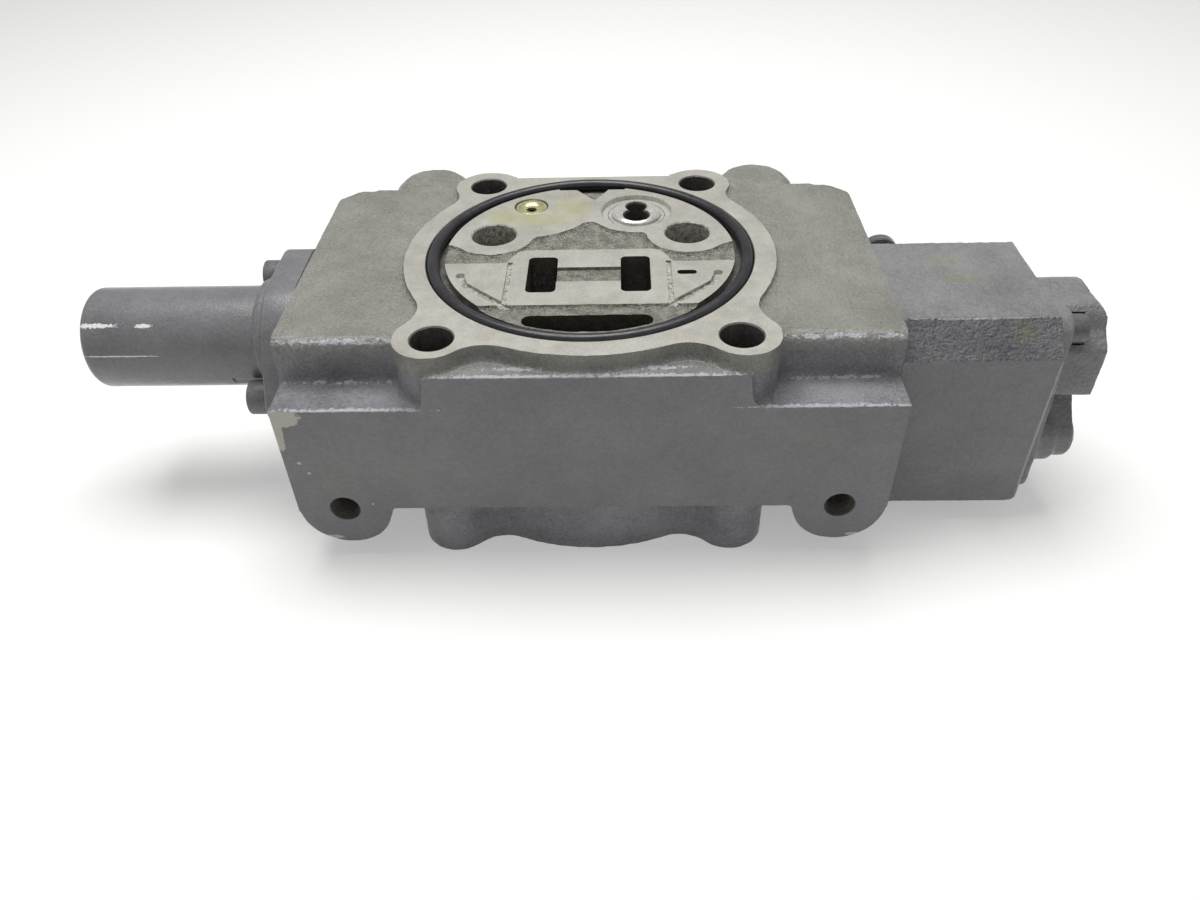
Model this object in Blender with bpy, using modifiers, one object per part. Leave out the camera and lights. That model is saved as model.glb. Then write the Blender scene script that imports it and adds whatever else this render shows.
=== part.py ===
"""Boom control valve: one section of a stacked hydraulic directional valve.

Values are in millimetres and are turned to metres where a mesh is made.
X runs along the main spool, Y from the machined front plate to the work ports, Z up through the stack.
The origin is the centre of the bottom mating face.
"""
import math

import bmesh
import bpy
from mathutils import Vector

MM = 0.001

# Clearances
SEAT_GAP = 0.3
SPOOL_CLEARANCE = 0.2
SCREW_CLEARANCE = 0.4
SIDE_STEP = 0.4

# Stack flange, the same outline at the top and the bottom
SECTION_HEIGHT = 111.0
FLANGE_R = 87.0
TIE_BOLT_HOLE_R = 9.05
FRONT_BOLT_X = 64.0
FRONT_BOLT_Y = -73.4
FRONT_EAR_R = 13.0
BACK_BOLT_X = 55.0
BACK_BOLT_Y = 70.8
BACK_EAR_R = 17.0
FRONT_WAIST_R = 18.0
BACK_WAIST_R = 14.0
BACK_FLAT_Y = 80.5
BACK_FLAT_INSET = 3.0

# Cast housing around the spool
HOUSING_HALF_X = 133.7
CAST_STEP = 3.0
HOUSING_FRONT_Y = -70.0
HOUSING_BACK_Y = 75.0
HOUSING_UNDER_Z = 29.2
HOUSING_FRONT_ROUND = 7.0
HOUSING_BACK_ROUND = 18.0
BLOCK_PAD_LENGTH = 34.0
BLOCK_PAD_FRONT_Y = -66.0
BLOCK_PAD_BACK_Y = 21.0
BLOCK_PAD_UNDER_Z = 13.0
BLOCK_PAD_ROOT = 4.0

# Machined front plate with two threaded ears
PLATE_FRONT_Y = -90.4
PLATE_SHOULDER_DROP = 24.4
PLATE_EAR_R = 21.0
PLATE_EAR_Z = 30.2
PLATE_UNDER_Z = 31.2
TONGUE_HALF_X = 67.0
TONGUE_DROP = 8.0
TONGUE_FOOT = 3.0
TONGUE_SWEEP_R = 18.0
TONGUE_SWEEP_ROOT = 4.0
PLATE_ROOT = 12.0
EAR_THREAD_R = 5.2
EAR_THREAD_DEPTH = 22.0
EAR_MOUTH_R = 6.75

# Work ports in two rounded lumps at the back
PORT_LUMP_X = 87.0
PORT_LUMP_Y = 84.0
PORT_LUMP_R = 20.5
LUMP_ROUND = 3.0
PORT_FACE_Y = 97.0
PORT_FACE_R = 17.0
WORK_PORT_R = 12.0

# Sealing face
RING_OUTER_R = 76.8
RING_GROOVE_WIDTH = 8.8
RING_GROOVE_DEPTH = 4.4
RING_CORD = 5.5
POCKET_INSET = 6.8
POCKET_DEPTH = 2.0
LAND_ROOT = 2.0
LAND_EDGE_PAST = 1.0
FACE_SETBACK = 0.3
GALLERY_R = 10.75
GALLERY_X = 46.8
GALLERY_Y = 16.4
GALLERY_LAND_R = 19.5
LAND_RIM_BEARING = 7.0
LAND_RIM_TURN = 40.0
LENS_HALF_X = 17.5
LENS_WIDTH = 5.0
LENS_DEPTH = 16.0
MID_LAND_BACK_Y = 0.0
MID_LAND_HALF_X = 32.6
MID_LAND_SHOULDER_X = 36.5
MID_LAND_SHOULDER_Y = -12.5
SIDE_LAND_BACK_Y = -11.6
SIDE_LAND_FRONT_Y = -48.0
BRIDGE_BACK_Y = -16.2
BRIDGE_FRONT_Y = -28.7
BRIDGE_DEPTH = 1.5
FEED_INNER_X = 14.5
FEED_OUTER_X = 28.0
FEED_BACK_Y = -6.7
FEED_FRONT_Y = -37.9
FEED_CORNER_R = 2.5
PUMP_PORT_BACK_Y = -53.8
PUMP_PORT_RIM = 1.1
PUMP_PORT_END_R = 4.15
DRAIN_GROOVE_WIDTH = 3.5
DRAIN_GROOVE_DEPTH = 1.5
DRAIN_START = (58.5, -22.5)
DRAIN_ELBOW = (56.0, -30.3)
DRAIN_END_INSET_X = 1.0
DRAIN_END_PAST_Y = 1.5
SCORE_GROOVE_WIDTH = 2.4
SCORE_GROOVE_DEPTH = 1.0
SENSE_SLOT_X = 44.5
SENSE_SLOT_Y = -21.7
SENSE_SLOT_LENGTH = 9.4
SENSE_SLOT_WIDTH = 4.0
SENSE_SLOT_DEPTH = 5.0

# Orifice insert
ORIFICE_INSET = 14.28
ORIFICE_BEARING = 123.43
ORIFICE_LAND_R = 32.7
ORIFICE_SEAT_R = 8.3
ORIFICE_SEAT_DEPTH = 3.4
ORIFICE_HOLE_R = 2.6
ORIFICE_FLOOR = 1.2
ORIFICE_RIM = 1.6
SIGNAL_GALLERY_R = 4.2

# Load check
CHECK_INSET = 23.36
CHECK_BEARING = 61.02
CHECK_LAND_R = 23.5
CHECK_MOUTH_R = 17.6
CHECK_MOUTH_DEPTH = 2.6
CHECK_PLUG_R = 12.4
CHECK_PLUG_BEVEL = 0.8
CHECK_SEAT_R = 14.4
CHECK_SEAT_LENGTH = 12.0
CHECK_HOLE_BACK_R = 4.9
CHECK_HOLE_FRONT_R = 6.2
CHECK_HOLE_STEP = 4.6
CHECK_POCKET_R = 12.4
POPPET_R = 11.6
POPPET_LENGTH = 17.0
POPPET_BORE_R = 8.6
POPPET_CROWN = 4.0
POPPET_BEVEL = 1.5
CHECK_LIFT = 6.0
CHECK_SPRING_SOLID = 10.0
CHECK_SPRING_WIRE_R = 1.0
CHECK_SPRING_TURNS = 5
CHECK_DRILL_R = 6.5
CHECK_DRILL_RISE = 1.0

# Main spool and its bore
SPOOL_Y = -22.3
SPOOL_DEPTH = 31.0
SPOOL_R = 14.0
SPOOL_OVERHANG = 12.3
SPOOL_WAIST_R = 9.5
SPOOL_STROKE = 9.0
CHAMBER_R = 19.0
WORK_CHAMBER_SPARE = 2.0
PUMP_CHAMBER_HALF = 5.0
PUMP_DRILL_R = 5.0
TANK_DRILL_R = 8.0
SPOOL_BEVEL = 1.0
DRILL_TIP = 3.0
THREAD_RUNOUT = 2.0

# Spring cap on the left
CAP_TUBE_R = 23.6
CAP_BORE_R = 19.2
CAP_LENGTH = 99.5
CAP_END_WALL = 6.0
CAP_FLANGE_THICKNESS = 14.0
CAP_DISC_R = 28.5
CAP_EAR_R = 13.0
CAP_SCREW_PITCH_R = 32.0
CAP_SCREW_ANGLE = 30.0
CAP_HUB_R = 27.0
CAP_HUB_LENGTH = 4.0
CAP_SCREW_R = 5.0
CAP_SCREW_HEAD_R = 8.0
CAP_SCREW_GRIP = 18.0
CAP_SCREW_SOCKET = 8.0
CAP_SPOT_MARGIN = 1.0
CAP_END_ROUND = 2.4
CAP_FILLET = 1.2

# Small face seals around the spool bore
SEAL_OUTER_R = 23.5
SEAL_CORD = 3.0

# Spring seats and centring springs
SEAT_WASHER = 4.5
SEAT_FLANGE_R = 17.8
SEAT_SCREW_R = 4.0
SEAT_SCREW_HEAD_R = 7.5
SEAT_SCREW_SOCKET = 6.0
SEAT_LIP = 4.0
SEAT_BEVEL = 1.0
SEAT_SCREW_LENGTH = 16.0
SPRING_COIL_R = 13.6
SPRING_WIRE_R = 1.9
LEFT_SPRING_TURNS = 7
RIGHT_SPRING_TURNS = 6

# End block on the right
BLOCK_LENGTH = 67.3
BLOCK_FRONT_Y = -69.5
BLOCK_BACK_Y = 24.4
BLOCK_STEP = 4.0
BLOCK_UNDER_Z = 9.0
BLOCK_CHAMFER_Y = 14.5
BLOCK_CHAMFER_Z = 13.5
BLOCK_FOOT_CHAMFER = 5.0
BLOCK_EDGE_ROUND = 2.0
BLOCK_CORNER_ROUND = 7.0
BLOCK_PLUG_INSET = 10.0
BLOCK_PLUG_DROP = 15.0
BLOCK_PLUG_HEAD_R = 9.5
BLOCK_PLUG_HEAD = 6.0
BLOCK_PLUG_THREAD_R = 6.0
BLOCK_PLUG_THREAD = 12.0
BLOCK_PLUG_BEVEL = 1.0
BLOCK_PLUG_SOCKET = 8.0
BLOCK_PLUG_SOCKET_DEPTH = 4.0

# End cover beyond the block
COVER_FLANGE = 5.5
COVER_DEPTH = 25.0
COVER_BORE_R = 17.9
COVER_END_WALL = 6.0
COVER_ROUND_R = 22.7
COVER_FRONT_Y = -56.5
COVER_CROWN_Y = -46.5
COVER_CROWN_DROP = 2.0
COVER_LEDGE_DROP = 14.5
COVER_CHEEK_FOOT = 15.0
COVER_ROUND_START = -75.0
COVER_ROUND_END = 105.0
COVER_LOBE_R = 11.0
COVER_WEB_R = 6.0
COVER_CROWN_CUT = 3.0
COVER_CROWN_LEAN = 2.5
COVER_CHEEK_CUT = 4.0
COVER_ROOT = 1.0
COVER_LOBE_SETBACK = 0.05
COVER_SPOT_MARGIN = 0.8
COVER_SPOT_SPARE = 1.0
COVER_SCREW_R = 4.0
COVER_SCREW_HEAD_R = 6.5
COVER_EAR_R = 9.5
COVER_SCREW_GRIP = 12.0
COVER_SCREW_SOCKET = 6.0
COVER_BACK_SCREW_Y = 6.2
COVER_TOP_SCREW_Y = -50.5
COVER_LOW_SCREW_Y = -42.0
COVER_LOW_EAR_Y = -55.5
COVER_TOP_SCREW_DROP = 10.0
COVER_BACK_SCREW_DROP = 18.0
COVER_BACK_SCREW_RISE = 14.5
COVER_LOW_SCREW_RISE = 11.5
COVER_LOW_EAR_RISE = 13.5

# Pilot selector spool in the block's lower bore
SELECTOR_Y = -50.0
SELECTOR_RISE = 29.5
SELECTOR_R = 6.0
SELECTOR_DEPTH = 46.0
SELECTOR_STROKE = 5.0
SELECTOR_COLLAR_R = 8.0
SELECTOR_COLLAR = 3.0
SELECTOR_SPRING_R = 5.2
SELECTOR_WIRE_R = 0.9
SELECTOR_SPRING_TURNS = 6
SELECTOR_ROOM_R = 8.6
SELECTOR_ROOM_SPARE = 2.0
SELECTOR_BACK_GAP = 1.0
SELECTOR_NOSE = 3.0
SELECTOR_NECK_DEPTH = 2.0
SELECTOR_NECK_SHARES = (0.40, 0.42, 0.60, 0.62)
SELECTOR_BEVEL = 0.8
SELECTOR_FEED_R = 2.5
SELECTOR_FEED_INSET = 6.0

# Socket-head screws
SCREW_BEVEL = 0.8
SCREW_SOCKET_SHARE = 0.55

# Derived places
WORK_CHAMBER_HALF = SPOOL_STROKE + WORK_CHAMBER_SPARE
TANK_CHAMBER_HALF = SPOOL_STROKE
CHECK_SPRING_ROOM = CHECK_SPRING_SOLID + CHECK_LIFT
HOUSING_TOP_Z = SECTION_HEIGHT - CAST_STEP
PLATE_HALF_X = HOUSING_HALF_X - SIDE_STEP
PLATE_EAR_X = PLATE_HALF_X - PLATE_EAR_R
RING_GROOVE_INNER_R = RING_OUTER_R - RING_GROOVE_WIDTH
POCKET_R = RING_OUTER_R - POCKET_INSET
POCKET_FLOOR_Z = SECTION_HEIGHT - POCKET_DEPTH
LAND_EDGE_R = POCKET_R + LAND_EDGE_PAST
LENS_FRONT_Y = POCKET_R - LENS_WIDTH
ORIFICE_X = (POCKET_R - ORIFICE_INSET) * math.cos(math.radians(ORIFICE_BEARING))
ORIFICE_Y = (POCKET_R - ORIFICE_INSET) * math.sin(math.radians(ORIFICE_BEARING))
CHECK_X = (POCKET_R - CHECK_INSET) * math.cos(math.radians(CHECK_BEARING))
CHECK_Y = (POCKET_R - CHECK_INSET) * math.sin(math.radians(CHECK_BEARING))
SPOOL_Z = SECTION_HEIGHT - SPOOL_DEPTH
SPOOL_END_X = HOUSING_HALF_X + SPOOL_OVERHANG
PLATE_SHOULDER_Z = SECTION_HEIGHT - PLATE_SHOULDER_DROP
TONGUE_TOP_Z = SECTION_HEIGHT - TONGUE_DROP
LEFT_FACE_X = -HOUSING_HALF_X
RIGHT_FACE_X = HOUSING_HALF_X
BLOCK_X = RIGHT_FACE_X + SEAT_GAP
BLOCK_END_X = BLOCK_X + BLOCK_LENGTH
BLOCK_TOP_Z = SECTION_HEIGHT - BLOCK_STEP
BLOCK_PLUG_X = BLOCK_X + BLOCK_PLUG_INSET
BLOCK_PLUG_Z = BLOCK_TOP_Z - BLOCK_PLUG_DROP
SELECTOR_Z = BLOCK_UNDER_Z + SELECTOR_RISE
COVER_X = BLOCK_END_X + SEAT_GAP
COVER_END_X = COVER_X + COVER_DEPTH
COVER_FLOOR_X = COVER_END_X - COVER_END_WALL
COVER_CROWN_Z = BLOCK_TOP_Z - COVER_CROWN_DROP
COVER_LEDGE_Z = BLOCK_TOP_Z - COVER_LEDGE_DROP
COVER_CHEEK_UNDER_Z = SPOOL_Z - COVER_CHEEK_FOOT
COVER_SCREW_PLACES = ((COVER_TOP_SCREW_Y, BLOCK_TOP_Z - COVER_TOP_SCREW_DROP),
                      (COVER_BACK_SCREW_Y, SPOOL_Z - COVER_BACK_SCREW_DROP),
                      (COVER_BACK_SCREW_Y, BLOCK_UNDER_Z + COVER_BACK_SCREW_RISE),
                      (COVER_LOW_SCREW_Y, BLOCK_UNDER_Z + COVER_LOW_SCREW_RISE))
COVER_EARS = COVER_SCREW_PLACES[:3] + ((COVER_LOW_EAR_Y, BLOCK_UNDER_Z + COVER_LOW_EAR_RISE),)
CAP_FACE_X = LEFT_FACE_X - SEAT_GAP
CAP_FLANGE_END_X = CAP_FACE_X - CAP_FLANGE_THICKNESS
CAP_END_X = CAP_FACE_X - CAP_LENGTH
CAP_FLOOR_X = CAP_END_X + CAP_END_WALL
FEED_X = (FEED_INNER_X + FEED_OUTER_X) / 2
FEED_CHAMBER_HALF = (FEED_OUTER_X - FEED_INNER_X) / 2 + 1.0
SEAT_OUT = SPOOL_END_X + SEAT_GAP
SEAT_FACE = SEAT_OUT + SEAT_WASHER
CHECK_SEAT_TOP_Z = SECTION_HEIGHT - CHECK_MOUTH_DEPTH
CHECK_SEAT_UNDER_Z = CHECK_SEAT_TOP_Z - CHECK_SEAT_LENGTH
POPPET_TOP_Z = CHECK_SEAT_UNDER_Z - SEAT_GAP
POPPET_UNDER_Z = POPPET_TOP_Z - POPPET_LENGTH
CHECK_FLOOR_Z = POPPET_UNDER_Z - CHECK_SPRING_ROOM
SELECTOR_COLLAR_ROOM = SELECTOR_COLLAR + SELECTOR_STROKE + SELECTOR_ROOM_SPARE
CAP_SCREWS = tuple(
    (SPOOL_Y + side * CAP_SCREW_PITCH_R * math.cos(math.radians(CAP_SCREW_ANGLE)),
     SPOOL_Z + side * CAP_SCREW_PITCH_R * math.sin(math.radians(CAP_SCREW_ANGLE)))
    for side in (1, -1))

# How many sides a round shape gets, and how far a cutter runs past the faces it opens
FINE = 36
ROUND = 20
SMALL = 16
ARC_STEP = 15.0
COIL_POINTS = 6
SCREW_SIDES = 12
LAND_STEP_BACK = 15.0
LAND_STEP_ON = 21.0
THIN_STEP = 0.01
PAST = 5.0

TURN_TO = {"X": (0.0, math.pi / 2, 0.0), "Y": (-math.pi / 2, 0.0, 0.0), "Z": (0.0, 0.0, 0.0)}


def clear_scene():
    """Remove the objects that a new file starts with."""
    for old in list(bpy.data.objects):
        bpy.data.objects.remove(old, do_unlink=True)


def new_collection(name):
    """Make a collection under the scene's own."""
    made = bpy.data.collections.new(name)
    bpy.context.scene.collection.children.link(made)
    return made


def finish_material(name, colour, roughness, metallic):
    """Make a Principled material with one colour."""
    made = bpy.data.materials.new(name)
    made.use_nodes = True
    shader = made.node_tree.nodes["Principled BSDF"]
    shader.inputs["Base Color"].default_value = (*colour, 1.0)
    shader.inputs["Roughness"].default_value = roughness
    shader.inputs["Metallic"].default_value = metallic
    return made


clear_scene()
PART = new_collection("boom_control_valve")
CUTTERS = new_collection("cutters")

PAINT = ("grey_paint", (0.11, 0.11, 0.12), 0.45, 0.0)
STEEL = ("ground_steel", (0.60, 0.60, 0.61), 0.25, 1.0)
SPRING_STEEL = ("spring_steel", (0.35, 0.35, 0.37), 0.35, 1.0)
ZINC = ("yellow_zinc", (0.66, 0.58, 0.33), 0.30, 1.0)
BLACK_RUBBER = ("nitrile_rubber", (0.02, 0.02, 0.022), 0.55, 0.0)
SCREW_STEEL = ("painted_screw", (0.10, 0.10, 0.11), 0.40, 0.0)


def own_material(made, finish):
    """Give an object a material of its own."""
    kind, colour, roughness, metallic = finish
    made.data.materials.clear()
    made.data.materials.append(finish_material(made.name + "_" + kind, colour, roughness, metallic))


def link_mesh(name, mesh, collection, place=(0.0, 0.0, 0.0), axis="Z"):
    """Put a mesh in the file at a place in millimetres, its Z turned to the axis."""
    made = bpy.data.objects.new(name, mesh)
    made.location = Vector(place) * MM
    made.rotation_euler = TURN_TO[axis]
    collection.objects.link(made)
    if collection == CUTTERS:
        made.hide_render = True
        made.display_type = "WIRE"
    return made


def smooth(made, angle=35.0):
    """Shade smooth except across sharp edges."""
    made.data.shade_smooth()
    made.data.set_sharp_from_angle(angle=math.radians(angle))


def box(name, low, high, collection, rounds=()):
    """Make a box; each round is (test on an edge's middle and direction, radius, segments)."""
    mesh = bpy.data.meshes.new(name)
    shape = bmesh.new()
    bmesh.ops.create_cube(shape, size=1.0)
    low_corner = Vector(low) * MM
    size = Vector(high) * MM - low_corner
    for vert in shape.verts:
        vert.co = Vector((low_corner[i] + (vert.co[i] + 0.5) * size[i] for i in range(3)))
    for wanted, radius, segments in rounds:
        chosen = [edge for edge in shape.edges if wanted(edge)]
        bmesh.ops.bevel(shape, geom=chosen, offset=radius * MM, segments=segments, profile=0.5,
                        affect="EDGES", clamp_overlap=True)
    shape.to_mesh(mesh)
    shape.free()
    return link_mesh(name, mesh, collection)


def rod(name, radius, start, length, axis, collection, sides=ROUND):
    """Make a plain cylinder that starts at a point and runs along an axis."""
    mesh = bpy.data.meshes.new(name)
    shape = bmesh.new()
    bmesh.ops.create_cone(shape, cap_ends=True, segments=sides, radius1=radius * MM,
                          radius2=radius * MM, depth=abs(length) * MM)
    for vert in shape.verts:
        vert.co.z += length * MM / 2
    shape.to_mesh(mesh)
    shape.free()
    return link_mesh(name, mesh, collection, start, axis)


def turned(name, profile, place, axis, collection, sides=ROUND, ring=False):
    """Turn a profile of (radius, height) points, listed from top to bottom on the outer side."""
    mesh = bpy.data.meshes.new(name)
    shape = bmesh.new()
    verts = [shape.verts.new((radius * MM, 0.0, height * MM)) for radius, height in profile]
    for first, second in zip(verts, verts[1:]):
        shape.edges.new((first, second))
    if ring:
        shape.edges.new((verts[-1], verts[0]))
    shape.to_mesh(mesh)
    shape.free()
    made = link_mesh(name, mesh, collection, place, axis)
    screw = made.modifiers.new("turn", "SCREW")
    screw.steps = sides
    screw.render_steps = sides
    screw.use_merge_vertices = True
    screw.merge_threshold = 0.00001
    return made


def prism(name, outlines, low, high, collection, axis="Z"):
    """Extrude closed outlines between two heights along an axis; an outline inside another is a hole.

    For axis Z a point is (x, y); for X it is (y, z); for Y it is (x, z).
    """
    curve = bpy.data.curves.new(name, "CURVE")
    curve.dimensions = "2D"
    curve.fill_mode = "BOTH"
    curve.extrude = (high - low) / 2 * MM
    for outline in outlines:
        spline = curve.splines.new("POLY")
        spline.points.add(len(outline) - 1)
        for point, (across, up) in zip(spline.points, outline):
            point.co = (across * MM, up * MM, 0.0, 1.0)
        spline.use_cyclic_u = True
    guide = bpy.data.objects.new(name + "_guide", curve)
    middle = (low + high) / 2 * MM
    if axis == "X":
        guide.rotation_euler = (math.pi / 2, 0.0, math.pi / 2)
        guide.location = (middle, 0.0, 0.0)
    elif axis == "Y":
        guide.rotation_euler = (math.pi / 2, 0.0, 0.0)
        guide.location = (0.0, middle, 0.0)
    else:
        guide.location = (0.0, 0.0, middle)
    collection.objects.link(guide)
    return curve_to_mesh(name, guide, collection)


def curve_to_mesh(name, guide, collection):
    """Replace a curve object by a welded mesh object in the same place."""
    bpy.context.view_layer.update()
    seen = guide.evaluated_get(bpy.context.evaluated_depsgraph_get())
    mesh = bpy.data.meshes.new_from_object(seen)
    mesh.name = name
    place = guide.matrix_world.copy()
    shape = bmesh.new()
    shape.from_mesh(mesh)
    bmesh.ops.remove_doubles(shape, verts=shape.verts, dist=0.000001)
    bmesh.ops.recalc_face_normals(shape, faces=shape.faces)
    shape.to_mesh(mesh)
    shape.free()
    curve = guide.data
    bpy.data.objects.remove(guide, do_unlink=True)
    bpy.data.curves.remove(curve)
    made = link_mesh(name, mesh, collection)
    made.matrix_world = place
    return made


def combine(target, tool, operation):
    """Cut, join or intersect an object with another one."""
    step = target.modifiers.new(operation.lower() + "_" + tool.name, "BOOLEAN")
    step.operation = operation
    step.solver = "EXACT"
    step.object = tool


def cut(target, *tools):
    """Cut each tool out of the target."""
    for tool in tools:
        combine(target, tool, "DIFFERENCE")


def join(target, *tools):
    """Join each tool to the target."""
    for tool in tools:
        combine(target, tool, "UNION")


def arc(centre, radius, start, end, step=ARC_STEP):
    """Give points along an arc, angles in degrees, both ends included."""
    count = max(2, math.ceil(abs(end - start) / step) + 1)
    points = []
    for i in range(count):
        turn = math.radians(start + (end - start) * i / (count - 1))
        points.append((centre[0] + radius * math.cos(turn), centre[1] + radius * math.sin(turn)))
    return points


def bearing(centre, point):
    """Give the direction from a centre to a point, in degrees."""
    return math.degrees(math.atan2(point[1] - centre[1], point[0] - centre[0]))


def meet(first, first_r, second, second_r, side):
    """Give where two circles cross, on the left (1) or right (-1) of the line between centres."""
    gap = Vector(second) - Vector(first)
    apart = gap.length
    along = (apart ** 2 + first_r ** 2 - second_r ** 2) / (2 * apart)
    across = math.sqrt(max(first_r ** 2 - along ** 2, 0.0))
    unit = gap / apart
    normal = Vector((-unit.y, unit.x))
    point = Vector(first) + unit * along + normal * across * side
    return (point.x, point.y)


def rounded(points, radius, step=30.0):
    """Round every corner of a convex outline given counter-clockwise."""
    outline = []
    count = len(points)
    for i in range(count):
        before = Vector(points[i - 1])
        corner = Vector(points[i])
        after = Vector(points[(i + 1) % count])
        inward = (before - corner).normalized()
        onward = (after - corner).normalized()
        half = inward.angle(onward) / 2
        centre = corner + (inward + onward).normalized() * (radius / math.sin(half))
        start = corner + inward * (radius / math.tan(half))
        end = corner + onward * (radius / math.tan(half))
        first = bearing(centre, start)
        last = bearing(centre, end)
        if last < first:
            last += 360.0
        outline += arc(centre, radius, first, last, step)
    return outline


def slot(first, second, width, step=36.0):
    """Give the outline of a slot with round ends between two centres."""
    heading = bearing(first, second)
    return (arc(second, width / 2, heading - 90, heading + 90, step)
            + arc(first, width / 2, heading + 90, heading + 270, step))


def hexagon(across_flats):
    """Give the radius of a hexagon's corners."""
    return across_flats / 2 / math.cos(math.radians(30))


def flange_outline():
    """Give the stack flange: a circle with four ears, joined by hollow waists."""
    centre = (0.0, 0.0)
    ears = ((FRONT_BOLT_X, FRONT_BOLT_Y, FRONT_EAR_R, FRONT_WAIST_R),
            (BACK_BOLT_X, BACK_BOLT_Y, BACK_EAR_R, BACK_WAIST_R),
            (-BACK_BOLT_X, BACK_BOLT_Y, BACK_EAR_R, BACK_WAIST_R),
            (-FRONT_BOLT_X, FRONT_BOLT_Y, FRONT_EAR_R, FRONT_WAIST_R))
    outline = []
    arrive = None
    first_leave = None
    for ear_x, ear_y, ear_r, waist_r in ears:
        ear = (ear_x, ear_y)
        before = meet(centre, FLANGE_R + waist_r, ear, ear_r + waist_r, -1)
        after = meet(centre, FLANGE_R + waist_r, ear, ear_r + waist_r, 1)
        start = bearing(centre, before)
        if arrive is not None:
            outline += arc(centre, FLANGE_R, arrive, start + (360 if start < arrive else 0))[1:-1]
        else:
            first_leave = start
        outline += waist(before, waist_r, centre, ear)
        ear_start = bearing(ear, before)
        ear_end = bearing(ear, after)
        if ear_end < ear_start:
            ear_end += 360.0
        outline += arc(ear, ear_r, ear_start, ear_end)[1:-1]
        outline += waist(after, waist_r, ear, centre)
        arrive = bearing(centre, after)
    outline += arc(centre, FLANGE_R, arrive, first_leave + (360 if first_leave < arrive else 0))[1:-1]
    return outline


def waist(centre, radius, come_from, go_to):
    """Give a hollow arc that touches the circles around two other centres."""
    first = bearing(centre, come_from)
    last = bearing(centre, go_to)
    if last > first:
        last -= 360.0
    return arc(centre, radius, first, last)


def back_land_outline():
    """Give the machined land around the galleries, the orifice and the load check."""
    centre = (0.0, 0.0)
    left = (-GALLERY_X, GALLERY_Y)
    right = (GALLERY_X, GALLERY_Y)
    orifice = (ORIFICE_X, ORIFICE_Y)
    check = (CHECK_X, CHECK_Y)
    edge = LAND_EDGE_R
    left_end = meet(left, GALLERY_LAND_R, orifice, ORIFICE_LAND_R, -1)
    peak = meet(orifice, ORIFICE_LAND_R, check, CHECK_LAND_R, -1)
    valley = meet(orifice, ORIFICE_LAND_R, check, CHECK_LAND_R, 1)
    right_start = meet(check, CHECK_LAND_R, right, GALLERY_LAND_R, -1)
    lens_y = math.sqrt(edge ** 2 - LENS_HALF_X ** 2)
    outline = arc(left, GALLERY_LAND_R, 180 + LAND_RIM_TURN, 360 + bearing(left, left_end))
    outline += arc(orifice, ORIFICE_LAND_R, bearing(orifice, left_end),
                   bearing(orifice, peak) - LAND_STEP_BACK)[1:]
    outline += arc(check, CHECK_LAND_R, bearing(check, peak) + LAND_STEP_ON, bearing(check, right_start))
    outline += arc(right, GALLERY_LAND_R, bearing(right, right_start), 360 - LAND_RIM_TURN)[1:]
    outline += arc(centre, edge, LAND_RIM_BEARING, bearing(centre, (LENS_HALF_X, lens_y)))
    notch = (LENS_HALF_X / 2, LENS_FRONT_Y)
    outline += [(LENS_HALF_X, LENS_FRONT_Y), notch, valley, (-notch[0], LENS_FRONT_Y)]
    outline += [(-LENS_HALF_X, LENS_FRONT_Y)]
    outline += arc(centre, edge, bearing(centre, (-LENS_HALF_X, lens_y)), 180 - LAND_RIM_BEARING)
    return outline


def mid_land_outline():
    """Give the machined land around the feed ports, with a side land each way."""
    edge = LAND_EDGE_R
    front_x = math.sqrt(edge ** 2 - SIDE_LAND_FRONT_Y ** 2)
    back_x = math.sqrt(edge ** 2 - SIDE_LAND_BACK_Y ** 2)
    centre = (0.0, 0.0)
    right = arc(centre, edge, bearing(centre, (front_x, SIDE_LAND_FRONT_Y)),
                bearing(centre, (back_x, SIDE_LAND_BACK_Y)))
    left = [(-across, up) for across, up in reversed(right)]
    crown = [(MID_LAND_SHOULDER_X, MID_LAND_SHOULDER_Y), (MID_LAND_HALF_X, MID_LAND_BACK_Y)]
    crown += [(-across, up) for across, up in reversed(crown)]
    return right + crown + left


def plate_outline():
    """Give the front plate: two ears below, square shoulders and a raised tongue above."""
    inner = math.degrees(math.asin((PLATE_UNDER_Z - PLATE_EAR_Z) / PLATE_EAR_R))
    right = arc((PLATE_EAR_X, PLATE_EAR_Z), PLATE_EAR_R, -180 - inner, 0, 20)
    right += [(PLATE_HALF_X, PLATE_SHOULDER_Z)]
    rise = TONGUE_TOP_Z - PLATE_SHOULDER_Z
    right += [(TONGUE_HALF_X + TONGUE_FOOT * (1 - share) ** 2, PLATE_SHOULDER_Z + rise * share)
              for share in (0.0, 0.2, 0.45, 0.75, 1.0)]
    left = [(-across, up) for across, up in reversed(right)]
    return right + left


def pump_port_outline():
    """Give the pump port's outline: straight at the back, round with the seal ring in front."""
    front_r = RING_GROOVE_INNER_R - PUMP_PORT_RIM
    end_y = PUMP_PORT_BACK_Y - PUMP_PORT_END_R
    end_x = math.sqrt((front_r - PUMP_PORT_END_R) ** 2 - end_y ** 2)
    turn = bearing((0.0, 0.0), (end_x, end_y))
    right = arc((end_x, end_y), PUMP_PORT_END_R, turn, 90, 20)
    return arc((0.0, 0.0), front_r, -180 - turn, turn)[1:-1] + right + [(-x, y) for x, y in reversed(right)]


def tongue_sweep_outline():
    """Give the plan of the hollow sweep from the housing's front to the tongue's sides."""
    hub = (TONGUE_HALF_X - SIDE_STEP + TONGUE_SWEEP_R, HOUSING_FRONT_Y - TONGUE_SWEEP_R)
    right = arc(hub, TONGUE_SWEEP_R, 180, 90)
    right.append((hub[0], HOUSING_FRONT_Y + TONGUE_SWEEP_ROOT))
    return right + [(-across, up) for across, up in reversed(right)]


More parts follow.
